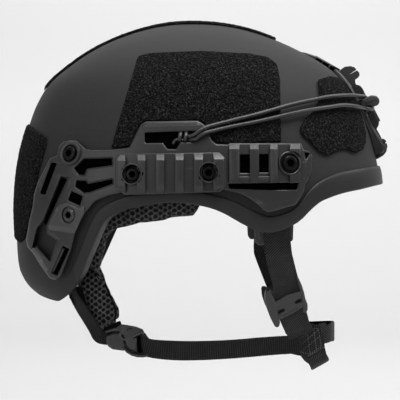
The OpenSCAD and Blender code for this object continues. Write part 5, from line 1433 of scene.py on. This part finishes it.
# ------------------------------------------------------------------ strap anchors inside the shell
def anchors():
    parts = []
    ring = fillet([[41.5, -32.6, 3], [66.4, -29.5, 2], [67.2, -8, 3], [70, 20, 3], [69, 33, 3], [57, 33, 3], [51, 20, 4], [40.4, -4, 4], [38.8, -20, 3], [39.4, -29.5, 3]], 1.5, 5)
    slot_ = fillet([[47, -28.4, 1], [62.6, -26.4, 1], [62.8, -23.6, 1], [47, -25.4, 1]], 1, 4)
    v, f = flat_plate(ring, [slot_[::-1], circle_pts(62, 26, 2.6, n=24)], 0, 2.9, bevel=0.8, steps=(4, 4), seg=4, px_mm=1.0, bottom_bevel=True)
    parts.append((np.stack([v[:, 0], -87.5 - v[:, 2], v[:, 1]], 1), f))
    for a, b, c, d in ((41.4, -28, 43.2, -10), (64, -26.6, 65.8, -8)):
        v, f = flat_plate(fillet([[a, b, 0.8], [c, b, 0.8], [c, d, 0.8], [a, d, 0.8]], 0.8, 4), [], 0, 0.45, bevel=0.2, steps=(4, 4), seg=2, px_mm=1.0)
        parts.append((np.stack([v[:, 0], -90.3 - v[:, 2], v[:, 1]], 1), f))
    prof = [(2.0, 0.0), (2.0, 5.4), (1.7, 6.0), (0.02, 6.15)]
    w = []
    for r_, h in prof:
        for i in range(28):
            a = 2 * math.pi * i / 28
            w.append([PIVOT[0] + r_ * math.cos(a), -87.6 - h, PIVOT[1] + r_ * math.sin(a)])
    parts.append((np.array(w), [list(q) for q in grid_faces(len(prof), 28, wrap_c=True)]))
    v, f = merge(parts)
    for ob in both_sides("strap_anchor_body", v, f, "buckle_plastic", "strap_anchor", sharp=38):
        fix_normals(ob)
        ob.data.set_sharp_from_angle(angle=math.radians(38))
        paint(ob, "buckle")


anchors()


# ------------------------------------------------------------------ front shroud
def across(pts, y0, y1, bevel=0.8, ref_y=None, step=2.5, seg=4, holes=()):
    """Solid drawn in profile on the picture plane and carried across from y0 to y1, with rounded edges."""
    ref = y0 if ref_y is None else ref_y
    n = max(2, int((y1 - y0) / 5))
    v, f = flat_plate(pts, holes, 0, y1 - y0, bevel=bevel, steps=(step, step), seg=seg, bottom_bevel=True)
    k = U * (1 + ref / FAR)
    return np.stack([(v[:, 0] - 200) * k, y0 + v[:, 2], (200 - v[:, 1]) * k], 1), f


def front_grid(rows, cols, off, z_of, w_of):
    """Points on the brow by height and half width."""
    out = []
    for i in range(rows):
        z, w = z_of(i / (rows - 1)), w_of(i / (rows - 1))
        al = float(aof(z))
        y = np.linspace(-w, w, cols)
        vv = np.minimum(1, (np.abs(y) / wide(al)) ** (PN / 2))
        ps = np.degrees(np.arcsin(vv)) * np.sign(y)
        o = off(i / (rows - 1), np.linspace(-1, 1, cols)) if callable(off) else off
        out.append(S(ps, al, o))
    return np.array(out)


# height, half width and thickness of the base plate
PLATE = np.array([[112.5, 9, 1.0], [106.5, 12, 3.2], [98, 19, 3.2], [89, 28.5, 2.9], [80, 28.5, 1.9], [71.3, 28.5, 1.7], [63, 28.5, 2.2], [54.7, 28.5, 4.0], [46.4, 28.5, 6.2], [39, 28, 8.2], [34.5, 26, 7.2]])


def plate_row(t, k):
    return float(np.interp(-(112.5 - 78.0 * t), -PLATE[:, 0], PLATE[:, k]))


def shroud_width(t):
    return plate_row(t, 1)


def shroud():
    z_of = lambda t: 112.5 - 78.0 * t
    rows, cols = 70, 41

    def top(t, u):
        e = (1 - np.abs(u)) * shroud_width(t)
        ends = min(t, 1 - t) * 78
        h = plate_row(t, 2)
        return np.maximum(h - min(1.0, 0.4 * h) * (np.clip(1 - e / 1.2, 0, 1) ** 2 + max(0, 1 - ends / 1.2) ** 2), 0.7)
    A = front_grid(rows, cols, top, z_of, shroud_width)
    B = front_grid(rows, cols, 0.5, z_of, shroud_width)
    m = rows * cols
    v = np.concatenate([A.reshape(-1, 3), B.reshape(-1, 3)])
    f = [list(q) for q in grid_faces(rows, cols)] + [[i + m for i in q[::-1]] for q in grid_faces(rows, cols)]
    ring = [c for c in range(cols)] + [r * cols + cols - 1 for r in range(1, rows)] + [(rows - 1) * cols + c for c in range(cols - 2, -1, -1)] + [r * cols for r in range(rows - 2, 0, -1)]
    f += [[ring[i], ring[(i + 1) % len(ring)], m + ring[(i + 1) % len(ring)], m + ring[i]] for i in range(len(ring))]
    parts = [(v, f)]
    n_plate = len(f)
    shade_walls = []
    # upper hook: two fingers each side of a slit
    hook = [[338, 76, 1], [341, 69.2, 3], [345, 66.6, 2], [350.5, 65.9, 2], [354.6, 67.2, 1.5], [356.5, 69.5, 0.3], [349.6, 73.7, 0.2], [349.8, 74.2, 0.2], [357.1, 70.2, 0.3], [359.3, 72.4, 1.5], [359.8, 75.4, 1.5], [358.2, 77.6, 1], [355.2, 79.5, 1], [355.4, 82.6, 2], [357, 87, 1], [350, 88, 1], [344, 83.5, 2]]
    parts.append(across(fillet(hook, 1, 4), -9, 9, 0.35))
    # light upper lip of the ridge
    parts.append(across(fillet([[316.2, 55.5, 0.3], [328, 62.2, 2], [340.4, 69.4, 0.3], [339.9, 70.5, 0.3], [327.5, 63.4, 2], [315.8, 56.7, 0.3]], 0.4, 3), -6.6, 6.6, 0.3, step=3))
    # cord pegs: a hooked knob on each side
    knob = [[355.6, 100, 1], [363.5, 98.9, 1], [367, 97, 2], [371, 95.3, 3], [376.2, 95.8, 3], [379, 98.6, 3], [379.5, 102, 3], [378, 105, 3], [375, 106.4, 3], [371, 106.4, 1], [366, 106.6, 1], [361, 107.6, 1]]
    for s in (-1, 1):
        c = s * 26
        parts.append(across(fillet(knob, 1, 5), c - 2.5, c + 2.5, 1.5, ref_y=-26, seg=5))
        ridge = fillet([[364.4, 101.8, 0.6], [368, 99.6, 1], [372.4, 98.4, 1.5], [374.6, 99.6, 1], [372.4, 101.4, 0.6], [368.4, 102.6, 0.6], [365.2, 103.6, 0.6]], 0.6, 4)
        y0 = c - 3.1 if s < 0 else c + 1.9
        parts.append(across(ridge, y0, y0 + 1.2, 0.5, ref_y=-26, seg=3))
        flange = fillet([[359.6, 113.2, 0.3], [361.4, 112.6, 0.3], [366.8, 121.6, 1], [370.6, 130.2, 1], [376.4, 139.4, 0.5], [381.6, 147, 0.3], [380.1, 147.9, 0.3], [374.8, 140.2, 0.5], [369.0, 131, 1], [365.3, 122.4, 1]], 0.4, 3)
        parts.append(across(flange, s * 28.6 - 0.5, s * 28.6 + 0.5, 0.25, ref_y=-28, seg=2))
        corner = fillet([[380.8, 146.6, 0.3], [384.6, 144.4, 0.4], [386.2, 147.2, 0.6], [385.4, 151.2, 1], [381.6, 148.6, 0.4]], 0.4, 3)
        parts.append(across(corner, s * 28.5 - 0.5, s * 28.5 + 0.5, 0.25, ref_y=-28, seg=2))
        # painted shade: thin sheets in the darker shroud colour on each side face
        wall = fillet([[361.2, 112.8, 0.3], [365.2, 113.6, 0.5], [370, 122, 1], [375, 131.6, 1], [380.6, 140, 1], [384.6, 146.6, 0.5], [382.6, 148.6, 0.3], [380.6, 147.2, 0.3], [375, 139.6, 0.5], [369.2, 130.4, 1], [365.6, 121.8, 1]], 0.4, 3)
        shade_walls.append(across(wall, s * 28.4 - 0.4, s * 28.4 + 0.4, 0.15, ref_y=-28, seg=2))
    v, f = merge(parts)
    ob = new_object("shroud_body", v, f, replaces=["shroud"], sharp=34)
    fix_normals(ob)
    ob.data.set_sharp_from_angle(angle=math.radians(34))
    paint(ob, "shroud")
    # painted shade: the base plate's faces below 68 mm take the darker shroud colour
    ob.data.materials.append(M["shroud_dark"])
    for p_ in ob.data.polygons:
        if p_.index < n_plate and p_.center.z < 0.068:
            p_.material_index = 1
    v, f = merge(shade_walls)
    ob = new_object("shroud_side_shade_wall", v, f, sharp=34)
    fix_normals(ob)
    paint(ob, "shroud_dark")
    # painted shade: near-black strips on the sloping top of the base, for the shaded recess along the ridge
    strip = merge([across(fillet(q, 0.3, 2), -w, w, 0.2, step=3) for q, w in (
        ([[316.4, 57.2, 0.3], [324.6, 61.6, 0], [322.8, 64.6, 0], [315.2, 60.0, 0.3]], 14.2),
        ([[323.6, 61.0, 0], [331.6, 65.6, 0], [330, 68.6, 0], [322, 64.0, 0]], 17.0),
        ([[331, 65.2, 0], [339.4, 70.3, 0.3], [338.0, 73.2, 0.3], [329.4, 68.2, 0]], 19.8))])
    ob = new_object("shroud_top_shade_strip", strip[0], strip[1], sharp=34)
    fix_normals(ob)
    paint(ob, "dark")


shroud()

SB_C, SB_N = np.array([131.0, 0, 46.0]), unit([0.9, 0, 0.436])


def shroud_insert():
    parts = []
    body = [[353.8, 88.8, 1], [356, 84.2, 1.5], [360.2, 85.4, 1.5], [362.6, 88.2, 1], [366.4, 96, 3], [372.8, 108, 0], [379.3, 121.6, 1.5], [378.8, 125.2, 1], [376.3, 129.8, 0.8], [378.4, 135, 0], [380, 138.4, 0.5], [379.6, 157, 1], [377, 158.6, 1], [372, 140, 3], [367, 124], [360, 107], [356, 98]]
    parts.append(across(fillet(body, 1, 4), -16.6, 16.6, 0.8))
    # side cheeks carry the sloping edge
    cheek = [[353.6, 88.6, 1], [356.8, 84.4, 1.5], [360.2, 85.6, 1.5], [362.4, 88.3, 1], [366.3, 96, 3], [369.6, 102.4], [373.6, 110.4], [371.8, 112.6, 1], [369.8, 118, 1], [371.4, 126, 2], [376.4, 136, 1], [380.4, 143.6, 0.6], [379.9, 157, 1], [377.2, 158.6, 1], [372, 140, 3], [367, 124], [360, 107], [356, 98]]
    for s in (-1, 1):
        c = s * 17.8
        parts.append(across(fillet(cheek, 1, 4), c - 1.2, c + 1.2, 0.5, ref_y=-19))
    # lower hook: an upper and a lower lip with the split between them
    upper = [[378.4, 138.6, 0.5], [383.4, 138.4, 2], [386.0, 140.4, 1.5], [386.5, 142.2, 0.5], [379.4, 145.4, 0.4], [377.0, 145, 0.4]]
    lower = [[379.2, 146.8, 0.4], [386.9, 143.2, 0.5], [387.7, 146.4, 2], [386.6, 151.6, 3], [383.6, 155.4, 2], [377.6, 159.0, 1], [375.0, 158.6, 1], [374.6, 148.4, 1]]
    v, f = merge([across(fillet(upper, 1, 4), -18.8, 18.8, 0.8), across(fillet(lower, 1, 4), -18.8, 18.8, 0.9)])
    ob = new_object("shroud_lower_hook", v, f, sharp=34)
    fix_normals(ob)
    ob.data.set_sharp_from_angle(angle=math.radians(34))
    paint(ob, "shroud")
    parts.append(across(fillet([[377.5, 143.4, 0.4], [384.9, 140.8, 0.4], [385.7, 144.6, 0.4], [378, 148.4, 0.4]], 0.4, 2), -18.0, 18.0, 0.3))
    # ribs on the sloping face and a collar round the screw
    for y in (-12.5, -8.5, 8.5, 12.5):
        parts.append(across(fillet([[366.2, 97.4, 0.5], [378.6, 121.6, 0.5], [377.0, 122.4, 0.5], [364.8, 98.6, 0.5]], 0.5, 3), y - 0.9, y + 0.9, 0.4, ref_y=0, step=3))
    v, f = merge(parts)
    # sunk screw seat: points of the face near the screw go back
    d = v - SB_C
    axial = d @ SB_N
    radial = np.linalg.norm(d - axial[:, None] * SB_N, axis=1)
    v = v - np.where((radial < 6.2) & (axial > 4.5), axial - 4.5, 0)[:, None] * SB_N
    ob = new_object("shroud_insert_body", v, f, replaces=["shroud_insert"], sharp=34)
    fix_normals(ob)
    ob.data.set_sharp_from_angle(angle=math.radians(34))
    paint(ob, "shroud_dark")
    # light faces of the two lips
    lips = merge([across(fillet([[380.2, 145.4, 0.4], [386.8, 142.9, 0.5], [387.6, 146.4, 1.5], [386.4, 151.2, 1.5], [381.2, 147.8, 0.6]], 0.6, 4), -19.2, 19.2, 0.5),
                  across(fillet([[379.8, 138.9, 0.5], [383.6, 138.7, 1.5], [385.9, 140.2, 1], [386.2, 141.6, 0.4], [380.6, 143.6, 0.4]], 0.6, 4), -19.2, 19.2, 0.5)])
    ob = new_object("shroud_lip_faces", lips[0], lips[1], sharp=34)
    fix_normals(ob)
    paint(ob, "shroud")
    # screw and its collar
    x = unit(np.cross([0, 1.0, 0], SB_N))
    yv = np.cross(SB_N, x)

    def turned(prof, n=44, lobes=()):
        w = []
        for j, (r_, h) in enumerate(prof):
            for i in range(n):
                a = 2 * math.pi * i / n
                q = r_ * (1 + (0.16 * math.cos(6 * a) if j in lobes else 0))
                w.append(SB_C + x * q * math.cos(a) + yv * q * math.sin(a) + SB_N * h)
        return np.array(w), [list(q) for q in grid_faces(len(prof), n, wrap_c=True)]
    a = turned([(6.2, 4.4), (6.2, 7.4), (6.4, 7.7), (6.9, 7.8), (7.2, 7.5), (7.2, 4.4)])
    ob = new_object("shroud_screw_collar", a[0], a[1], sharp=40)
    fix_normals(ob)
    paint(ob, "shroud_dark")
    b = turned([(0.02, -11), (2.0, -11), (2.5, -10.4), (2.5, 4.3), (6.0, 4.3), (6.0, 4.6), (5.0, 4.6), (5.2, 5.0), (5.2, 6.3), (4.9, 6.9), (4.3, 7.1), (3.0, 7.2), (2.3, 7.2), (2.1, 7.0), (2.0, 5.6), (0.02, 5.3)], lobes=(12, 13, 14))
    ob = new_object("shroud_screw", b[0], b[1], sharp=40, replaces=["shroud_bolts"])
    fix_normals(ob)
    paint(ob, "bolt")


shroud_insert()


# ------------------------------------------------------------------ elastic cords
CORD_UP = [[188, 137, 4.6], [194, 135, 6.6], [199.5, 131.3, 8], [206, 127.6, 8], [213, 125.4, 6.4], [230, 121, 4.4], [260, 113.5, 4.4], [290, 105, 4.4], [310, 100.5, 4.4], [328, 96.9, 4.6]]
CORD_LO = [[330, 107, 4.6], [310, 110, 4.4], [290, 114, 4.4], [260, 121, 4.4], [230, 127, 4.4], [213, 131, 6.4], [206, 132.8, 8], [200, 136.2, 8], [195.5, 139.5, 6.6], [189, 140, 3.8]]


def cord_route():
    one = lambda p: on(np.array(float(p[0])), np.array(float(p[1])), np.array(float(p[2])))
    a = [one(q) for q in CORD_UP]
    b = [one(q) for q in CORD_LO]
    y = lambda px, py, yy: at_y(np.array(px), np.array(py), np.array(float(yy)))
    front = [one([340, 95.8, 4.8]), one([350, 95.4, 4.8]), one([357, 95.8, 4.8]), y(361.2, 96.2, -31.6), y(362.2, 96.1, -28.4), y(363, 96.2, -25.4), y(365, 97, -22.4), y(368, 99.4, -21.1), y(371, 103, -20.9), y(372.4, 106.6, -21.3), y(372.2, 109, -24), y(371.4, 109.3, -27.2), y(369, 109, -31), y(364.4, 108.3, -36), one([358, 106.9, 5.2]), one([350, 105.6, 4.9]), one([341, 105.4, 4.8])]
    return catmull(np.array(a + front + b), 8)


def tube(path, r_, sides=14, end_r=None, mod=None):
    """Round section along a path; the ends are closed and rounded. UV: length in metres, turn 0..1."""
    p = np.asarray(path, float)
    d = np.concatenate([[0], np.cumsum(np.linalg.norm(np.diff(p, axis=0), axis=1))])
    t = unit(np.gradient(p, axis=0))
    u = unit(np.cross(t[0], [0.3, 0.2, 1.0]))
    us = []
    for i in range(len(p)):
        u = unit(u - t[i] * (u @ t[i]))
        us.append(u)
    us = np.array(us)
    w = np.cross(t, us)
    ang = np.linspace(0, 2 * math.pi, sides, endpoint=False)
    rr = np.full(len(p), r_) if mod is None else r_ * mod(d)
    ring = p[:, None] + rr[:, None, None] * (np.cos(ang)[None, :, None] * us[:, None] + np.sin(ang)[None, :, None] * w[:, None])
    v = ring.reshape(-1, 3)
    uv = np.stack([np.repeat(d * 0.001, sides), np.tile(np.arange(sides) / sides, len(p))], 1)
    f = [list(q)[::-1] for q in grid_faces(len(p), sides, wrap_c=True)]
    ends = []
    for at, sgn, base in ((0, -1, 0), (len(p) - 1, 1, (len(p) - 1) * sides)):
        prev = [base + i for i in range(sides)]
        for a in (0.5, 0.85):
            c = p[at] + t[at] * sgn * rr[at] * a * 0.8
            row = []
            for i in range(sides):
                row.append(len(v) + len(ends))
                ends.append(c + rr[at] * math.sqrt(1 - a * a) * (math.cos(ang[i]) * us[at] + math.sin(ang[i]) * w[at]))
            f += [[prev[i], prev[(i + 1) % sides], row[(i + 1) % sides], row[i]] for i in range(sides)]
            prev = row
        f.append(prev)
    if ends:
        uv = np.concatenate([uv, np.repeat(uv[[0, -1]], len(ends) // 2, 0)])
        v = np.concatenate([v, np.array(ends)])
    return v, f, uv, float(d[-1])


ROUTE = cord_route()


def cords():
    v, f, uv, length = tube(ROUTE, 1.5)
    r, l = both_sides("elastic_cord", v, f, "cord", "bungee", sharp=0, uvs=uv)
    # the cord is whipped round the end of the rail window, and each end is tucked behind it
    wraps = []
    for x0, lean in ((179.8, 0.5), (185.6, 0.35)):
        pts = []
        for a in np.linspace(-0.5 * math.pi, 1.15 * math.pi, 16):
            px = x0 + lean * math.sin(a) + (a / math.pi) * 0.7
            py = 137.2 - 3.9 * math.sin(a)
            off = 3.4 + 2.9 * math.cos(a)
            pts.append(on(np.array(px), np.array(py), np.array(max(off, 0.9))))
        wraps.append(tube(catmull(np.array(pts), 3), 1.45, 12)[:2])
    pts = [on(np.array(x), np.array(y), np.array(o)) for x, y, o in ((190.5, 141.2, 2.4), (186, 141.0, 1.9), (179, 140.2, 1.9), (175.6, 140.6, 2.2), (173.4, 143.6, 2.4))]
    wraps.append(tube(catmull(np.array(pts), 5), 1.3, 12)[:2])
    w, g = merge(wraps)
    wr, wl = both_sides("cord_whipping", w, g, "cord", None, sharp=0)
    pts = [at_y(np.array(x), np.array(y), np.array(o)) for x, y, o in ((371.2, 108.8, -24.4), (367, 110.6, -23.6), (365.0, 112.6, -24.0), (366.4, 116.6, -24.4), (368.0, 121.0, -23.8))]
    w2, g2, uv2, _ = tube(catmull(np.array(pts), 6), 1.35, 12)
    tr, tl = both_sides("cord_tail", w2, g2, "cord", None, sharp=0, uvs=uv2)
    for ob in (r, l, wr, wl, tr, tl):
        fix_normals(ob)
        paint(ob, "cord")
    return length


CORD_LEN = cords()


# ------------------------------------------------------------------ liner and comfort pads
def cushion(node, name, voxel=0.004, cap=0.0035, pressure=4.0, frames=16, shrink=0.8, body="helmet", uv_mode="side", squash_tol=0.0):
    """Padded fabric piece: the node's own solid, slightly shrunk, remeshed, then blown up by cloth pressure with a cap on the movement."""
    src = frame["nodes"][node] if node in frame["nodes"] else bpy.data.objects[node]
    me = src.data.copy()
    ob = bpy.data.objects.new(name, me)
    COL.objects.link(ob)
    ob.hide_render = False
    ob.hide_viewport = False
    ob.modifiers.clear()
    bpy.context.view_layer.update()
    bm = bmesh.new()
    bm.from_mesh(me)
    bmesh.ops.remove_doubles(bm, verts=bm.verts[:], dist=1e-5)
    bmesh.ops.recalc_face_normals(bm, faces=bm.faces[:])
    bm.to_mesh(me)
    bm.free()
    sel = SCN.objects
    rm = ob.modifiers.new("remesh", "REMESH")
    rm.mode = "VOXEL"
    rm.voxel_size = voxel
    sm = ob.modifiers.new("smooth", "SMOOTH")
    sm.factor = 0.5
    sm.iterations = 3
    dg = bpy.context.evaluated_depsgraph_get()
    new = bpy.data.meshes.new_from_object(ob.evaluated_get(dg))
    ob.modifiers.clear()
    ob.data = new
    # pull in a little along the normals
    n = len(new.vertices)
    co = np.empty(n * 3)
    no = np.empty(n * 3)
    new.vertices.foreach_get("co", co)
    new.vertices.foreach_get("normal", no)
    co, no = co.reshape(-1, 3), no.reshape(-1, 3)
    start = co - no * shrink * 0.001
    new.vertices.foreach_set("co", start.ravel())
    new.update()
    cl = ob.modifiers.new("cloth", "CLOTH")
    st = cl.settings
    st.use_pressure = True
    st.uniform_pressure_force = pressure
    st.effector_weights.gravity = 0
    st.tension_stiffness = 12
    st.compression_stiffness = 12
    st.bending_stiffness = 0.6
    st.quality = 5
    cl.collision_settings.use_collision = False
    SCN.frame_start, SCN.frame_end = 1, frames
    for fr in range(1, frames + 1):
        SCN.frame_set(fr)
    dg = bpy.context.evaluated_depsgraph_get()
    res = bpy.data.meshes.new_from_object(ob.evaluated_get(dg))
    ob.modifiers.clear()
    if len(res.vertices) == n:
        end = np.empty(n * 3)
        res.vertices.foreach_get("co", end)
        end = end.reshape(-1, 3)
    else:
        end = start
    mv = end - start
    ln = np.linalg.norm(mv, axis=1, keepdims=True)
    end = start + mv * np.minimum(1, cap / np.maximum(ln, 1e-9))
    new.vertices.foreach_set("co", end.ravel())
    new.update()
    sub = ob.modifiers.new("sub", "SUBSURF")
    sub.levels = sub.render_levels = 1
    dg = bpy.context.evaluated_depsgraph_get()
    fin = bpy.data.meshes.new_from_object(ob.evaluated_get(dg))
    ob.modifiers.clear()
    ob.data = fin
    fin.polygons.foreach_set("use_smooth", [True] * len(fin.polygons))
    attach(ob, body)
    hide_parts(node)
    box_uv(ob)
    return ob


def box_uv(ob, scale=1.0):
    me = ob.data
    for l in list(me.uv_layers):
        me.uv_layers.remove(l)
    lay = me.uv_layers.new(name="UVMap")
    n = len(me.loops)
    vi = np.empty(n, int)
    me.loops.foreach_get("vertex_index", vi)
    co = np.empty(len(me.vertices) * 3)
    me.vertices.foreach_get("co", co)
    co = co.reshape(-1, 3)[vi]
    pn = np.empty(len(me.polygons) * 3)
    me.polygons.foreach_get("normal", pn)
    tot = np.empty(len(me.polygons), int)
    me.polygons.foreach_get("loop_total", tot)
    nn = np.repeat(pn.reshape(-1, 3), tot, 0)
    ax = np.argmax(np.abs(nn), 1)
    uv = np.where((ax == 0)[:, None], co[:, [1, 2]], np.where((ax == 1)[:, None], co[:, [0, 2]], co[:, [0, 1]]))
    lay.data.foreach_set("uv", (uv * scale).ravel())


def liner_panel(name, node, grid_out, grid_in, key="foam"):
    """Foam panel with rounded edges from two matching grids of points."""
    A, B = np.array(grid_out, float), np.array(grid_in, float)
    nr, nc = A.shape[:2]
    r = np.arange(nr)[:, None]
    c = np.arange(nc)[None, :]
    e = np.minimum(np.minimum(r, nr - 1 - r), np.minimum(c, nc - 1 - c)).astype(float)
    # steps of about 2.5 mm: round off the outer two
    k = np.where(e == 0, 0.30, np.where(e == 1, 0.09, 0.0))[..., None]
    C, D = A + (B - A) * k, B + (A - B) * k
    m = nr * nc
    v = np.concatenate([C.reshape(-1, 3), D.reshape(-1, 3)])
    f = [list(q) for q in grid_faces(nr, nc)] + [[i + m for i in q[::-1]] for q in grid_faces(nr, nc)]
    ring = [x for x in range(nc)] + [y * nc + nc - 1 for y in range(1, nr)] + [(nr - 1) * nc + x for x in range(nc - 2, -1, -1)] + [y * nc for y in range(nr - 2, 0, -1)]
    f += [[ring[i], ring[(i + 1) % len(ring)], m + ring[(i + 1) % len(ring)], m + ring[i]] for i in range(len(ring))]
    ob = new_object(name, v, f, replaces=[node], sharp=60)
    fix_normals(ob)
    paint(ob, key)
    return ob


LT = 6.5


def liner_by_angle(name, node, p0, p1, a0, a1, mirror=False):
    nr, nc = 26, 34
    al = np.linspace(a0, a1, nr)[:, None]
    ps = np.linspace(p0, p1, nc)[None, :]
    # panels are slotted for air
    A = S(ps, al, -10.25)
    B = S(ps, al, -10.15 - LT)
    g = np.zeros((nr, nc))
    for c in (nc // 3, 2 * nc // 3):
        g[4:-4, c] = 1.6
    B = B + (A - B) / LT * g[..., None]
    if mirror:
        A, B = mirror_y(A), mirror_y(B)
    return liner_panel(name, node, A, B)


liner_by_angle("liner_front_foam", "liner_front", -42, 42, 50, 16)
liner_by_angle("liner_rear_foam", "liner_rear", 140, 220, 50, -14)
liner_by_angle("liner_right_foam", "liner_right", -132, -78, 52, 4)
liner_by_angle("liner_left_foam", "liner_left", -132, -78, 52, 4, mirror=True)


def crown_point(x, y, off):
    x, y = np.asarray(x, float), np.asarray(y, float)
    lo, hi = np.zeros_like(x), np.full_like(x, 89.8)
    for _ in range(26):
        m = (lo + hi) / 2
        o = (np.abs(x - X0) / semi(m, x >= X0)) ** PN + (np.abs(y) / wide(m)) ** PN - 1 > 0
        hi = np.where(o, m, hi)
        lo = np.where(o, lo, m)
    al = (lo + hi) / 2
    ps = np.degrees(np.arctan2(spow(y / wide(al), PN / 2), spow((x - X0) / semi(al, x >= X0), PN / 2)))
    n = N(ps, al)
    n = unit(n + np.clip((al - 86) * 8, 0, 60)[..., None] * np.array([0, 0, 1.0]))
    return P(ps, al) + off * n


X_, Y_ = np.meshgrid(np.linspace(-58, 46, 40), np.linspace(36, -36, 28))
liner_panel("liner_crown_foam", "liner_crown", crown_point(X_, Y_, -10.25), crown_point(X_, Y_, -10.15 - LT))

PADS = [cushion("pad_right", "comfort_pad_right"), cushion("pad_left", "comfort_pad_left"), cushion("pad_front", "comfort_pad_front"),
        cushion("pad_rear", "comfort_pad_rear"), cushion("pad_crown", "comfort_pad_crown"), cushion("nape_pad", "nape_cushion")]
for ob_ in PADS:
    paint(ob_, "mesh_fine" if ob_.name.startswith("nape") else "mesh")


def piping(pad, pts, r_=0.75):
    """Bound seam that lies on the pad along the picture points pts, on both sides of it."""
    from mathutils.bvhtree import BVHTree
    bm = bmesh.new()
    bm.from_mesh(pad.data)
    bm.transform(pad.matrix_world)
    tree = BVHTree.FromBMesh(bm)
    bm.free()
    pts = np.array(pts, float)
    s_ = np.concatenate([[0], np.cumsum(np.hypot(*np.diff(pts, axis=0).T))])
    u = np.linspace(0, s_[-1], 60)
    px, py = np.interp(u, s_, pts[:, 0]), np.interp(u, s_, pts[:, 1])
    for _ in range(6):
        px[1:-1] = (px[:-2] + px[1:-1] * 2 + px[2:]) / 4
        py[1:-1] = (py[:-2] + py[1:-1] * 2 + py[2:]) / 4
    out = []
    for side in (-1, 1):
        q = []
        for a, b in zip(px, py):
            w = at_y(np.array([a]), np.array([b]), np.array([side * 90.0]))[0] / 1000.0
            hit = tree.ray_cast(Vector(w), Vector((0, -side, 0)))[0]
            if hit is not None and abs(hit.y) > 0.025:
                q.append(np.array(hit) * 1000.0)
        q = np.array(q)
        if len(q) < 8:
            continue
        for _ in range(4):
            q[1:-1] = (q[:-2] + q[1:-1] * 2 + q[2:]) / 4
        t_ = np.gradient(q, axis=0)
        t_ /= np.linalg.norm(t_, axis=1)[:, None]
        n1 = np.cross(t_, [0, 1.0, 0])
        n1 /= np.linalg.norm(n1, axis=1)[:, None]
        n2 = np.cross(t_, n1)
        v = np.concatenate([q + (n1 * math.cos(a) + n2 * math.sin(a)) * r_ for a in np.linspace(0, 2 * math.pi, 10, endpoint=False)])
        v = v.reshape(10, len(q), 3).transpose(1, 0, 2).reshape(-1, 3)
        f = [list(x) for x in grid_faces(len(q), 10, wrap_c=True)] + [list(range(10))[::-1], list(range(len(v) - 10, len(v)))]
        ob = new_object("nape_piping_" + ("r" if side < 0 else "l"), v, f, "helmet", None, 60)
        fix_normals(ob)
        paint(ob, "binding")


piping(PADS[-1], [[97.5, 277], [103.0, 290], [108.6, 302], [112.6, 312], [113.6, 318], [111.2, 324.5]])


# ------------------------------------------------------------------ carried-over CAD nodes
def keep(node, key, bevel=0.0004, seg=2):
    ob = bpy.data.objects.get(node) or frame["nodes"][node]
    for i in range(max(1, len(ob.material_slots))):
        if len(ob.material_slots) == 0:
            ob.data.materials.append(M[key])
        else:
            ob.material_slots[i].material = M[key]
    if bevel:
        w = ob.modifiers.new("weld", "WELD")
        w.merge_threshold = 0.00002
        b = ob.modifiers.new("bevel", "BEVEL")
        b.width = bevel
        b.segments = seg
        b.limit_method = "ANGLE"
        b.angle_limit = math.radians(32)
        b.harden_normals = False
    return ob


keep("shell_nuts", "bolt", 0.0004)

# ------------------------------------------------------------------ floor and light
FLOOR_Z = -0.20


def stage():
    me = bpy.data.meshes.new("floor")
    prof = [(-3.0, 0)] + [(1.1 + 0.5 * math.sin(t), 0.5 - 0.5 * math.cos(t)) for t in np.linspace(0, math.pi / 2, 12)] + [(1.6, 3.5)]
    v = [(x, y, FLOOR_Z + z) for y, z in prof for x in (-4.0, 4.0)]
    f = [(2 * i, 2 * i + 1, 2 * i + 3, 2 * i + 2) for i in range(len(prof) - 1)]
    me.from_pydata(v, [], f)
    me.polygons.foreach_set("use_smooth", [True] * len(f))
    ob = bpy.data.objects.new("floor", me)
    COL.objects.link(ob)
    m = bpy.data.materials.new("floor_paper")
    m.use_nodes = True
    b = m.node_tree.nodes["Principled BSDF"]
    nt = m.node_tree
    co = nt.nodes.new("ShaderNodeTexCoord")
    sep = nt.nodes.new("ShaderNodeSeparateXYZ")
    # painted shade: the floor colour is darker low down and lighter up the curve, to even out how bright it looks under
    # the lamps
    floor_shade_ramp = nt.nodes.new("ShaderNodeMapRange")
    floor_shade_ramp.inputs["From Min"].default_value = FLOOR_Z
    floor_shade_ramp.inputs["From Max"].default_value = FLOOR_Z + 0.35
    floor_shade_ramp.inputs["To Min"].default_value = 0.567
    floor_shade_ramp.inputs["To Max"].default_value = 0.68
    nt.links.new(co.outputs["Object"], sep.inputs[0])
    nt.links.new(sep.outputs[2], floor_shade_ramp.inputs["Value"])
    nt.links.new(floor_shade_ramp.outputs["Result"], b.inputs["Base Color"])
    b.inputs["Roughness"].default_value = 0.9
    me.materials.append(m)


def area(name, loc, target, size, power, size_y=None):
    d = bpy.data.lights.new(name, "AREA")
    d.energy = power
    d.size = size
    if size_y:
        d.shape = "RECTANGLE"
        d.size_y = size_y
    o = bpy.data.objects.new(name, d)
    o.location = loc
    v = Vector(target) - Vector(loc)
    o.rotation_euler = v.to_track_quat("-Z", "Y").to_euler()
    COL.objects.link(o)


stage()
world = bpy.data.worlds.new("studio")
world.use_nodes = True
world.node_tree.nodes["Background"].inputs["Color"].default_value = (1, 1, 1, 1)
world.node_tree.nodes["Background"].inputs["Strength"].default_value = 0.34
SCN.world = world
area("key", (0.35, -0.55, 1.4), (0, 0, 0), 0.9, 23)
area("fill", (-1.0, -1.1, 0.4), (0, 0, 0), 1.0, 4)
area("rim", (1.2, 0.2, 0.9), (0, 0, 0), 0.7, 6)
area("backdrop", (0, 0.75, 1.5), (0, 1.5, 0.0), 2.2, 20, 0.6)
SCN.view_settings.view_transform = "Standard"
